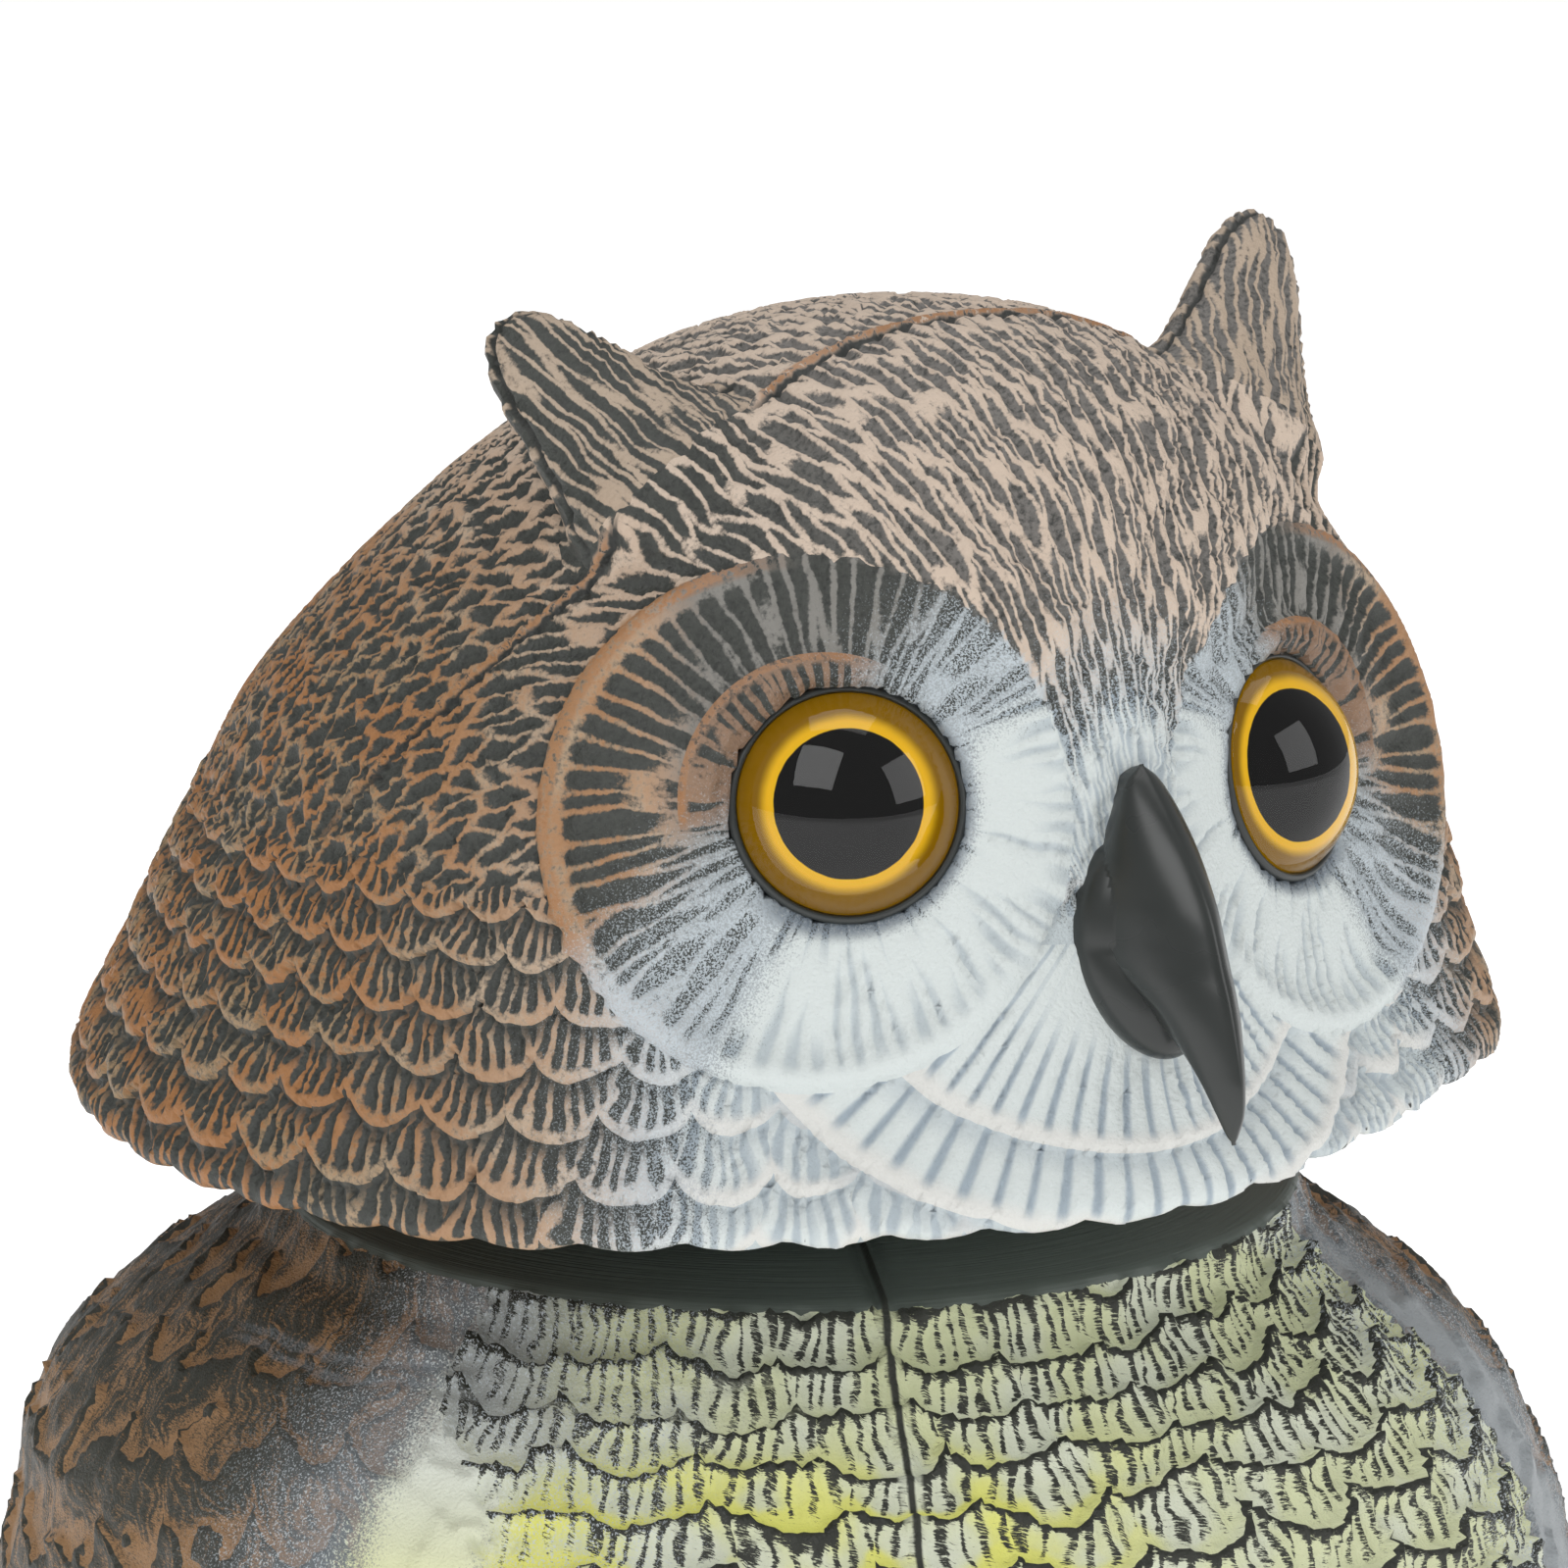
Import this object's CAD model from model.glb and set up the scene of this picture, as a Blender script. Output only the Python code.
"""Looks of an owl decoy bust: painted head and body shells, clear domed eyes and a glossy beak.

Sizes are millimetres in the head's own frame (z from the hem level, face toward -Y) or in the
body's frame (z from the cut). Meshes are turned, lifted and scaled to metres as they are finished.
"""

import logging
import math
from collections.abc import Callable
from dataclasses import dataclass, field
from enum import Enum

import bmesh
import bpy
import numpy as np
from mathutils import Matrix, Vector


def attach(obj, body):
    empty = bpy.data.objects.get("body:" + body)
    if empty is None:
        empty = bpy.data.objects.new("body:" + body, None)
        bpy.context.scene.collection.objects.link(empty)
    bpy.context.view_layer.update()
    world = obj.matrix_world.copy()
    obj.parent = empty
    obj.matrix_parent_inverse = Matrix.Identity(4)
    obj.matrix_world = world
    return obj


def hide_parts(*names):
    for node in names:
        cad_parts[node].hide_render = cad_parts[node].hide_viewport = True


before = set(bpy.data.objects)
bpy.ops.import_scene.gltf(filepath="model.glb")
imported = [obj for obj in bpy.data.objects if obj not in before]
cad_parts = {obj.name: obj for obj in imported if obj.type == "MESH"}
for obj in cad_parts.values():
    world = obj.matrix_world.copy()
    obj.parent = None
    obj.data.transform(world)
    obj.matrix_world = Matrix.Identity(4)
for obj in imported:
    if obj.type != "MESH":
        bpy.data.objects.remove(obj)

logging.basicConfig(level=logging.INFO, format="%(name)s: %(message)s")
log = logging.getLogger("owl")

MM = 0.001
HEM_LEVEL = 90.0
HEAD_TURN_DEG = 21.0
GRAIN_HEIGHT = 0.0003
Array = np.ndarray
Socket = bpy.types.NodeSocket


class Side(Enum):
    """The owl's own right and left, as the sign of x."""

    RIGHT = -1
    LEFT = 1


class Body(Enum):
    """Bodies of the frame that the pieces ride on."""

    TRUNK = "trunk"
    SKULL = "skull"


class Slot(Enum):
    """Material slots of the record."""

    BODY = "body_shell"
    HEAD = "head_shell"
    EYE = "eye"
    BEAK = "beak"


# Shapes shared by the pieces


def curve_at(xs: list[float], ys: list[float], x: Array) -> Array:
    """Value of a smooth curve through given points.

    Args:
        xs: Places of the points, rising.
        ys: Values of the points.
        x: Where the curve is read.

    Returns:
        The values at x.
    """
    at, value = np.asarray(xs, float), np.asarray(ys, float)
    last = len(at) - 1
    before = np.maximum(np.arange(last + 1) - 1, 0)
    after = np.minimum(np.arange(last + 1) + 1, last)
    slope = (value[after] - value[before]) / (at[after] - at[before])
    i = np.clip(np.searchsorted(at, x, side="left") - 1, 0, last - 1)
    span = at[i + 1] - at[i]
    t = np.clip((x - at[i]) / span, 0, 1)
    tangents = (t * (1 - t) ** 2 * slope[i] - t * t * (1 - t) * slope[i + 1]) * span
    return value[i] + (value[i + 1] - value[i]) * t * t * (3 - 2 * t) + tangents


def blended_min(a: Array, b: Array, width: float) -> Array:
    """Smaller of two distances, blended over a width."""
    h = np.clip(0.5 + 0.5 * (b - a) / width, 0, 1)
    return b * (1 - h) + a * h - width * h * (1 - h)


def smoothstep(low: float, high: float, x: Array) -> Array:
    """Soft step from 0 at low to 1 at high."""
    t = np.clip((x - low) / (high - low), 0, 1)
    return t * t * (3 - 2 * t)


def unit(v: Array) -> Array:
    """Vector of length one along v."""
    return v / np.linalg.norm(v)


def face_axes(side: Side, splay_deg: float, lean_deg: float) -> tuple[Array, Array, Array]:
    """Directions of one side of the face.

    Args:
        side: Which side of the face.
        splay_deg: How far it faces outward.
        lean_deg: How far it leans back.

    Returns:
        Outward normal, level direction toward +X and upward direction.
    """
    splay, lean = math.radians(splay_deg), math.radians(lean_deg)
    normal = np.array(
        [
            side.value * math.sin(splay) * math.cos(lean),
            -math.cos(splay) * math.cos(lean),
            math.sin(lean),
        ]
    )
    level = unit(np.cross([0, 0, 1], normal))
    return normal, level, np.cross(normal, level)


def turned(points: Array) -> Array:
    """Points of the head's own frame in the part's frame, still in millimetres."""
    c, s = math.cos(math.radians(HEAD_TURN_DEG)), math.sin(math.radians(HEAD_TURN_DEG))
    x, y, z = points.T
    return np.stack([x * c - y * s, x * s + y * c, z + HEM_LEVEL], axis=1)


def ring_shell(rows: int, columns: int) -> tuple[bmesh.types.BMesh, Array, Array]:
    """Closed shell of rings between two poles, to be given its shape.

    Args:
        rows: Steps from pole to pole.
        columns: Points of each ring.

    Returns:
        The shell, each vertex's row and each vertex's azimuth in radians.
    """
    shell = bmesh.new()
    bmesh.ops.create_uvsphere(shell, u_segments=columns, v_segments=rows, radius=1)
    co = np.array([v.co for v in shell.verts])
    row = np.rint(np.arccos(np.clip(co[:, 2], -1, 1)) / math.pi * rows).astype(int)
    return shell, row, np.arctan2(co[:, 0], -co[:, 1])


def set_places(shell: bmesh.types.BMesh, places: Array) -> None:
    """Moves every vertex of a shell to its place."""
    for vertex, place in zip(shell.verts, places):
        vertex.co = place


def to_mesh(name: str, *shells: bmesh.types.BMesh) -> bpy.types.Mesh:
    """Mesh of one or more shells, with faces pointing outward.

    Args:
        name: Name of the mesh.
        shells: The shells, which are freed.

    Returns:
        The mesh.
    """
    whole = bmesh.new()
    for shell in shells:
        bmesh.ops.recalc_face_normals(shell, faces=shell.faces)
        part = bpy.data.meshes.new("part")
        shell.to_mesh(part)
        shell.free()
        whole.from_mesh(part)
        bpy.data.meshes.remove(part)
    mesh = bpy.data.meshes.new(name)
    whole.to_mesh(mesh)
    whole.free()
    return mesh


def linked(name: str, mesh: bpy.types.Mesh) -> bpy.types.Object:
    """Object of a mesh, in the scene."""
    piece = bpy.data.objects.new(name, mesh)
    bpy.context.scene.collection.objects.link(piece)
    return piece


def applied(piece: bpy.types.Object) -> bpy.types.Object:
    """The same piece with its modifiers worked into its mesh."""
    graph = bpy.context.evaluated_depsgraph_get()
    mesh = bpy.data.meshes.new_from_object(piece.evaluated_get(graph))
    old = piece.data
    piece.modifiers.clear()
    piece.data = mesh
    bpy.data.meshes.remove(old)
    return piece


def coordinates(mesh: bpy.types.Mesh) -> Array:
    """Vertex places of a mesh, one row each."""
    co = np.empty(len(mesh.vertices) * 3, np.float32)
    mesh.vertices.foreach_get("co", co)
    return co.reshape(-1, 3).astype(float)


def set_coordinates(mesh: bpy.types.Mesh, co: Array) -> None:
    """Moves a mesh's vertices."""
    mesh.vertices.foreach_set("co", co.astype(np.float32).ravel())
    mesh.update()


def store(mesh: bpy.types.Mesh, name: str, values: Array) -> None:
    """Keeps a vector for each vertex as a named attribute."""
    layer = mesh.attributes.new(name, "FLOAT_VECTOR", "POINT")
    layer.data.foreach_set("vector", values.astype(np.float32).ravel())


def finish_piece(piece: bpy.types.Object, body: Body, node: str) -> None:
    """Shades a piece smooth and hands it to the frame.

    Args:
        piece: The finished piece.
        body: Body that it rides on.
        node: CAD node that it stands for, whole or in part.
    """
    piece.data.polygons.foreach_set("use_smooth", [True] * len(piece.data.polygons))
    piece.data.update()
    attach(piece, body.value)
    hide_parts(node)
    piece.data.calc_loop_triangles()
    log.info("%s: %d triangles", piece.name, len(piece.data.loop_triangles))


# Node patterns


class Graph:
    """Short ways to add the nodes of a pattern, alike in materials and in relief."""

    def __init__(self, tree: bpy.types.NodeTree) -> None:
        """Keeps the tree that the nodes go into."""
        self.tree = tree
        self.carving = tree.bl_idname == "GeometryNodeTree"

    def node(self, kind: str, *inputs: Socket | float | None, **settings: object) -> bpy.types.Node:
        """Adds one node.

        Args:
            kind: The node's type.
            inputs: Sockets or values for its inputs, in order; None leaves one as it is.
            settings: The node's own settings.

        Returns:
            The node.
        """
        made = self.tree.nodes.new(kind)
        for name, value in settings.items():
            setattr(made, name, value)
        for socket, value in zip(made.inputs, inputs):
            self.feed(socket, value)
        return made

    def feed(self, socket: Socket, value: Socket | float | tuple | None) -> None:
        """Links a socket to another, or sets its value."""
        if isinstance(value, bpy.types.NodeSocket):
            self.tree.links.new(value, socket)
        elif value is not None:
            socket.default_value = value

    def math(self, operation: str, *values: Socket | float) -> Socket:
        """Result of a math node."""
        return self.node("ShaderNodeMath", *values, operation=operation).outputs[0]

    def add(self, a: Socket | float, b: Socket | float) -> Socket:
        """Sum."""
        return self.math("ADD", a, b)

    def sub(self, a: Socket | float, b: Socket | float) -> Socket:
        """Difference."""
        return self.math("SUBTRACT", a, b)

    def mul(self, a: Socket | float, b: Socket | float) -> Socket:
        """Product."""
        return self.math("MULTIPLY", a, b)

    def affine(self, a: Socket, factor: float, offset: float) -> Socket:
        """a times factor plus offset."""
        return self.math("MULTIPLY_ADD", a, factor, offset)

    def step(self, value: Socket, low: float, high: float) -> Socket:
        """Soft step of a value from 0 at low to 1 at high."""
        return self.node(
            "ShaderNodeMapRange", value, low, high, 0.0, 1.0, interpolation_type="SMOOTHSTEP"
        ).outputs[0]

    def pick(self, share: Socket | float, a: Socket | float, b: Socket | float) -> Socket:
        """a where share is 0 and b where it is 1."""
        return self.node("ShaderNodeMix", share, None, a, b, data_type="FLOAT").outputs[0]

    def tint(self, share: Socket | float, a: Socket | tuple, b: Socket | tuple) -> Socket:
        """Colour a where share is 0 and b where it is 1."""
        made = self.node("ShaderNodeMix", share, data_type="RGBA")
        self.feed(made.inputs[6], a)
        self.feed(made.inputs[7], b)
        return made.outputs[2]

    def join(self, x: Socket | float, y: Socket | float, z: Socket | float = 0.0) -> Socket:
        """Vector of three numbers."""
        return self.node("ShaderNodeCombineXYZ", x, y, z).outputs[0]

    def split(self, vector: Socket) -> tuple[Socket, Socket, Socket]:
        """Three numbers of a vector."""
        outputs = self.node("ShaderNodeSeparateXYZ", vector).outputs
        return outputs[0], outputs[1], outputs[2]

    def length(self, x: Socket, y: Socket) -> Socket:
        """Length of a flat vector."""
        made = self.node("ShaderNodeVectorMath", self.join(x, y), operation="LENGTH")
        return made.outputs["Value"]

    def attribute(self, name: str) -> Socket:
        """A vector kept with the mesh."""
        if self.carving:
            made = self.node("GeometryNodeInputNamedAttribute", name, data_type="FLOAT_VECTOR")
            return made.outputs[0]
        return self.node("ShaderNodeAttribute", attribute_name=name).outputs["Vector"]

    def noise(self, vector: Socket, scale: float, detail: float = 2.0, rough: float = 0.5) -> Socket:
        """Cloud pattern from 0 to 1."""
        return self.node("ShaderNodeTexNoise", vector, None, scale, detail, rough).outputs[0]

    def bump(self, surface: bpy.types.Node, height: Socket, strength: float) -> None:
        """Gives a surface a fine unevenness, with its height in metres."""
        made = self.node("ShaderNodeBump", strength, 1.0)
        self.feed(made.inputs["Height"], height)
        self.feed(surface.inputs["Normal"], made.outputs[0])

    def edges(self, vector: Socket, scatter: Socket | float) -> Socket:
        """Distance to the borders between cells that are one unit apart, more or less scattered."""
        made = self.node(
            "ShaderNodeTexVoronoi", vector, voronoi_dimensions="2D", feature="DISTANCE_TO_EDGE"
        )
        made.inputs["Scale"].default_value = 1.0
        self.feed(made.inputs["Randomness"], scatter)
        return made.outputs[0]


@dataclass
class Strokes:
    """What a feather pattern hands to the carving and to the paint."""

    place: Socket
    height: Socket
    ridge: Socket
    recess: Socket
    lip: Socket
    extra: dict[str, Socket] = field(default_factory=dict)


@dataclass(frozen=True)
class Scales:
    """Overlapping scale feathers, in units of one feather's width and one row's pitch."""

    reach: float = 0.66

    def build(self, g: Graph, across: Callable[[Socket], Socket], down: Socket) -> dict[str, Socket]:
        """Coordinates within the feather that shows at each point.

        Args:
            g: Where the nodes go.
            across: Gives the position along a row, from the row's number.
            down: Position down the rows.

        Returns:
            x from the feather's middle, d above its lip, e below the lip over it, row and column.
        """
        row = g.math("FLOOR", down)
        f = g.sub(down, row)
        places, arcs = [], []
        for step in (-1.0, 0.0, 1.0):
            here = g.add(row, step)
            x = g.add(across(here), g.math("FRACT", g.mul(here, 0.5)))
            middle = g.affine(g.math("FRACT", x), 2.0, -1.0)
            drop = g.sub(1.0, g.mul(g.mul(middle, middle), 0.9))
            places.append(x)
            arcs.append(g.mul(g.math("SQRT", drop), self.reach))
        next_row = g.math("GREATER_THAN", f, arcs[1])
        x = g.pick(next_row, places[1], places[2])
        return {
            "x": g.affine(g.math("FRACT", x), 1.0, -0.5),
            "d": g.pick(next_row, g.sub(arcs[1], f), g.sub(g.add(arcs[2], 1.0), f)),
            "e": g.pick(next_row, g.sub(g.add(f, 1.0), arcs[0]), g.sub(f, arcs[1])),
            "row": g.add(row, next_row),
            "column": g.math("FLOOR", x),
        }


# Head


@dataclass(frozen=True)
class HeadShape:
    """Outline of the head shell, as in the solid."""

    heights: tuple[float, ...] = (
        0, 4, 10, 22, 35, 47, 59.5, 66, 72, 78, 84, 90, 96.5, 103, 109, 115, 120, 124, 126,
    )
    radii: tuple[float, ...] = (
        113, 112.6, 110.5, 105.3, 100.5, 96, 91.8, 88.6, 84.8, 80.5, 76, 71, 65.5, 59, 51.5,
        42, 32, 18, 0,
    )
    crown: float = 126.0
    crown_lean: float = 35.0
    hem_mean: float = 3.6
    hem_slant: float = 3.6
    hem_slant_deg: float = 15.0
    hem_lip: float = 3.0
    recess_radius: float = 58.0
    recess_top: float = 9.5
    splay_deg: float = 25.0
    lean_deg: float = 12.0
    ridge_rounding: float = 8.0
    edge_rounding: float = 6.0
    face_at_hem: float = 0.55
    face_full_height: float = 20.0
    forehead_stand: float = 1.8
    forehead_from: float = 52.0
    forehead_to: float = 80.0
    lean_power: float = 1.5
    least_toward: float = 0.12
    right_eye: tuple[float, float, float] = (-38.5, -80.1, 61.7)
    left_eye: tuple[float, float, float] = (38.0, -80.1, 58.6)

    def eye_base(self, side: Side) -> Array:
        """Centre of one eye's base."""
        return np.array(self.right_eye if side is Side.RIGHT else self.left_eye)

    def axes(self, side: Side) -> tuple[Array, Array, Array]:
        """Normal, level and upward directions of one side of the face."""
        return face_axes(side, self.splay_deg, self.lean_deg)

    def hem(self, azimuth: Array) -> Array:
        """Height of the hem at an azimuth."""
        return self.hem_mean + self.hem_slant * np.sin(azimuth - math.radians(self.hem_slant_deg))

    def point(self, azimuth: Array, height: Array) -> Array:
        """Points of the outer surface.

        Args:
            azimuth: Angles from the face, in radians.
            height: Heights above the hem level.

        Returns:
            One point for each pair.
        """
        share_up = np.clip(height / self.crown, 0, 1)
        centre_y = -self.crown_lean * share_up**self.lean_power
        dx, dy = np.sin(azimuth), -np.cos(azimuth)
        rounded = np.maximum(curve_at(self.heights, self.radii, height), 0)
        flat = np.full_like(rounded, 1000.0)
        stand = self.forehead_stand * smoothstep(self.forehead_from, self.forehead_to, height)
        for side in Side:
            normal = self.axes(side)[0]
            toward = normal[0] * dx + normal[1] * dy
            base = self.eye_base(side)
            reach = base[0] * normal[0] + (base[1] - centre_y) * normal[1]
            reach = reach + (base[2] - height) * normal[2] + stand
            plane = reach / np.maximum(toward, self.least_toward)
            near = blended_min(flat, plane, self.ridge_rounding)
            flat = np.where(toward > self.least_toward, near, flat)
        faced = blended_min(rounded, flat, self.edge_rounding)
        share = self.face_at_hem + (1 - self.face_at_hem) * smoothstep(
            2, self.face_full_height, height
        )
        radius = rounded + (faced - rounded) * share
        return np.stack([radius * dx, centre_y + radius * dy, height], axis=1)


@dataclass(frozen=True)
class DiscShape:
    """Facial disc: a shallow dish whose rim stands higher toward the outside and below."""

    outward: float = 5.8
    drop: float = 2.8
    radius: float = 37.5
    rim_rise: float = 1.3
    rim_swing: float = 1.1
    thickness: float = 11.0
    middle_sunk: float = 0.4
    columns: int = 120
    seat_radius: float = 16.7
    seat_depth: float = 6.0
    profile: tuple[tuple[float, float], ...] = (
        (28, -0.3), (32.5, 0.1), (35.2, 1), (36.8, 1), (38.6, 0), (38, -2), (29, -11),
    )

    def centre(self, head: HeadShape, side: Side) -> Array:
        """Middle of the disc on one side."""
        _, level, upward = head.axes(side)
        return head.eye_base(side) + level * side.value * self.outward - upward * self.drop

    def shell(self, head: HeadShape, side: Side) -> bmesh.types.BMesh:
        """Closed shell of the disc.

        Args:
            head: The head that carries it.
            side: Which disc.

        Returns:
            The shell, in the head frame.
        """
        normal, level, upward = head.axes(side)
        rows = len(self.profile) + 1
        shell, row, azimuth = ring_shell(rows, self.columns)
        radii = np.array([0.0, *[r for r, _ in self.profile], 0.0])[row]
        rise = np.array([-self.middle_sunk, *[h for _, h in self.profile], -self.thickness])[row]
        across, along = radii * np.sin(azimuth), radii * np.cos(azimuth)
        outer_low = (side.value * across - 0.6 * along) / (1.17 * np.maximum(radii, 1))
        rim = (rise > 0.05) & (rise < 1.05)
        rise = np.where(rim, rise * (self.rim_rise + self.rim_swing * outer_low), rise)
        centre = self.centre(head, side)
        places = centre + across[:, None] * level + along[:, None] * upward
        set_places(shell, places + rise[:, None] * normal)
        return shell


@dataclass(frozen=True)
class TuftShape:
    """Ear tuft of one side, a flattened leaf that leans out and back."""

    base: tuple[float, float, float] = (48.5, -48, 103)
    notch: tuple[float, float, float] = (60, -55, 95.5)
    right_tip: tuple[float, float, float] = (-64.5, -24, 126.4)
    left_tip: tuple[float, float, float] = (71, -25, 133)
    right_root: tuple[float, float, float] = (-37, -50, 112.8)
    left_root: tuple[float, float, float] = (37, -50, 118.5)
    steps: tuple[float, ...] = (-0.5, -0.25, 0, 0.25, 0.5, 0.75, 0.9, 0.97, 1)
    half_widths: tuple[float, ...] = (6, 14, 18, 14.4, 11.4, 8.8, 5.8, 3.2, 0)
    half_thickness: tuple[float, ...] = (4, 9, 11.5, 8.4, 6.3, 4.9, 3.4, 2, 0)
    rows: int = 44
    columns: int = 48

    def axes(self, side: Side) -> tuple[Array, Array, Array, Array, float]:
        """Where one tuft stands and which way it points.

        Args:
            side: Which tuft.

        Returns:
            Base point, lengthwise, crosswise and thickness directions, and length.
        """
        mirror = np.array([side.value, 1, 1])
        base = np.array(self.base) * mirror
        right = side is Side.RIGHT
        tip = np.array(self.right_tip if right else self.left_tip)
        root = np.array(self.right_root if right else self.left_root)
        length = float(np.linalg.norm(tip - base))
        axis = (tip - base) / length
        across = np.array(self.notch) * mirror - root
        across = unit(across - axis * (across @ axis))
        return base, axis, across, np.cross(axis, across), length

    def shell(self, side: Side) -> bmesh.types.BMesh:
        """Closed shell of the tuft."""
        base, axis, across, thick, length = self.axes(side)
        shell, row, angle = ring_shell(self.rows, self.columns)
        first = self.steps[0]
        t = first + (1 - first) * np.sin(row / self.rows * math.pi / 2) ** 0.8
        inner = (row > 0) & (row < self.rows)
        width = curve_at(self.steps, self.half_widths, t) * inner
        depth = curve_at(self.steps, self.half_thickness, t) * inner
        places = base + (t * length)[:, None] * axis
        places = places + (width * np.cos(angle))[:, None] * across
        set_places(shell, places + (depth * np.sin(angle))[:, None] * thick)
        return shell

    def coordinates(self, side: Side, points: Array) -> tuple[Array, Array, Array, Array]:
        """Where points lie in a tuft.

        Args:
            side: Which tuft.
            points: Places in the head frame.

        Returns:
            Crosswise, lengthwise and depth distances, and how far each point belongs to the tuft.
        """
        base, axis, across, thick, length = self.axes(side)
        rel = points - base
        a, l, c = rel @ across, rel @ axis, rel @ thick
        t = np.clip(l / length, self.steps[0], 0.98)
        width = curve_at(self.steps, self.half_widths, t)
        depth = curve_at(self.steps, self.half_thickness, t)
        spread = np.hypot(a / width, c / depth)
        member = (1 - smoothstep(1.05, 1.3, spread)) * smoothstep(-0.1, 0.15, l / length)
        return a, l, c, member


@dataclass
class HeadShell:
    """Painted head shell with its discs, tufts and brows in one skin."""

    shape: HeadShape = field(default_factory=HeadShape)
    disc: DiscShape = field(default_factory=DiscShape)
    tuft: TuftShape = field(default_factory=TuftShape)
    brow_outer: tuple[float, float, float] = (45, -57, 99)
    brow_inner: tuple[float, float, float] = (11, -86, 83.5)
    brow_half_width: float = 14.0
    brow_half_thickness: float = 9.0
    brow_overrun: float = 8.0
    bell_rows: int = 150
    bell_columns: int = 300
    skin_step: float = 1.2
    smoothing: int = 2
    underside_top: float = 14.0
    underside_radius: float = 100.0
    fan_point: tuple[float, float] = (-98.0, 66.0)
    fan_offset: float = 70.0
    scallops: int = 46
    scallop_depth: float = 1.5
    scallop_rise: float = 5.0
    disc_reach: float = 38.5
    disc_behind: float = -9.0
    face_front: float = -30.0
    cloud_scales: tuple[float, float, float] = (0.11, 0.34, 0.09)

    def bell(self) -> bmesh.types.BMesh:
        """Bell from the crown to the hem, closed by its underside and neck recess.

        Returns:
            The shell, in the head frame.
        """
        rows, under = self.bell_rows, 4
        shell, row, azimuth = ring_shell(rows, self.bell_columns)
        last = rows - under
        hem = self.shape.hem(azimuth)
        share = np.cos(np.clip(row / last, 0, 1) * math.pi / 2) ** 1.15
        places = self.shape.point(azimuth, hem + (self.shape.crown - hem) * share)
        out = np.stack([np.sin(azimuth), -np.cos(azimuth), np.zeros_like(azimuth)], axis=1)
        lip = places - out * self.shape.hem_lip
        ring = out * self.shape.recess_radius
        places = np.where((row == last + 1)[:, None], lip, places)
        for offset, height in ((2, self.shape.hem_mean), (3, self.shape.recess_top)):
            level = ring + np.array([0, 0, height])
            places = np.where((row == last + offset)[:, None], level, places)
        top = np.array([0, 0, self.shape.recess_top])
        places = np.where((row == rows)[:, None], top, places)
        set_places(shell, places)
        return shell

    def brow(self, side: Side) -> bmesh.types.BMesh:
        """Swelling between an ear tuft and the beak."""
        mirror = np.array([side.value, 1, 1])
        outer, inner = np.array(self.brow_outer) * mirror, np.array(self.brow_inner) * mirror
        half = float(np.linalg.norm(outer - inner)) / 2 + self.brow_overrun
        axis = unit(outer - inner)
        thick = unit((outer + inner) * [1, 1, 0])
        thick = unit(thick - axis * (thick @ axis))
        across = np.cross(axis, thick)
        shell = bmesh.new()
        bmesh.ops.create_uvsphere(shell, u_segments=48, v_segments=32, radius=1)
        co = np.array([v.co for v in shell.verts])
        co = co * [half, self.brow_half_thickness, self.brow_half_width]
        set_places(shell, (outer + inner) / 2 + co @ np.array([axis, thick, across]))
        return shell

    def skin(self) -> bpy.types.Object:
        """One closed skin over the bell, discs, tufts and brows."""
        shells = [self.bell()]
        for side in Side:
            shells += [self.disc.shell(self.shape, side), self.tuft.shell(side), self.brow(side)]
        piece = linked("head_shell", to_mesh("head_shell", *shells))
        remesh = piece.modifiers.new("skin", "REMESH")
        remesh.mode = "VOXEL"
        remesh.voxel_size = self.skin_step
        soften = piece.modifiers.new("soften", "SMOOTH")
        soften.iterations = self.smoothing
        soften.factor = 0.5
        return applied(piece)

    def thin_underside(self, piece: bpy.types.Object) -> None:
        """Joins the small flat faces under the head."""
        shell = bmesh.new()
        shell.from_mesh(piece.data)
        shell.normal_update()
        low = []
        for face in shell.faces:
            middle = face.calc_center_median()
            inner = middle.z < self.underside_top and middle.xy.length < self.underside_radius
            if face.normal.z < -0.9 and inner:
                low.append(face)
        verts = list(dict.fromkeys(v for f in low for v in f.verts))
        edges = list(dict.fromkeys(e for f in low for e in f.edges))
        bmesh.ops.dissolve_limit(shell, angle_limit=math.radians(4), verts=verts, edges=edges)
        shell.to_mesh(piece.data)
        shell.free()

    def disc_coordinates(self, points: Array) -> Array:
        """Where points lie from the middle of the disc on their side.

        Args:
            points: Places in the head frame.

        Returns:
            Outward, upward and depth distances of each point.
        """
        found = np.empty_like(points)
        for side in Side:
            mask = points[:, 0] >= 0 if side is Side.LEFT else points[:, 0] < 0
            normal, level, upward = self.shape.axes(side)
            rel = points[mask] - self.disc.centre(self.shape, side)
            found[mask] = np.stack(
                [rel @ level * side.value, rel @ upward, rel @ normal], axis=1
            )
        return found

    def on_face(self, points: Array, disc: Array) -> Array:
        """Whether each point lies in front, near enough to a disc's level to belong to it."""
        return (disc[:, 2] > self.disc_behind) & (points[:, 1] < self.face_front)

    def from_eye(self, disc: Array) -> tuple[Array, Array]:
        """Outward and upward distances from the eye, out of disc coordinates."""
        return disc[:, 0] + self.disc.outward, disc[:, 1] - self.disc.drop

    def flow(self, points: Array) -> Array:
        """Course of the strokes that fan out from the chin over the crown.

        Args:
            points: Places in the head frame.

        Returns:
            Distances across and along the strokes.
        """
        x, y, z = points.T
        y0, z0 = self.fan_point
        w = ((y - y0) + (z - z0) + self.fan_offset) / math.sqrt(2)
        s = (y - z) / math.sqrt(2)
        spread = np.arctan2(x, w)
        around = np.arctan2(s + 20, np.hypot(x, w) - 95)
        return np.stack([spread * 100, around * 85], axis=1)

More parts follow.
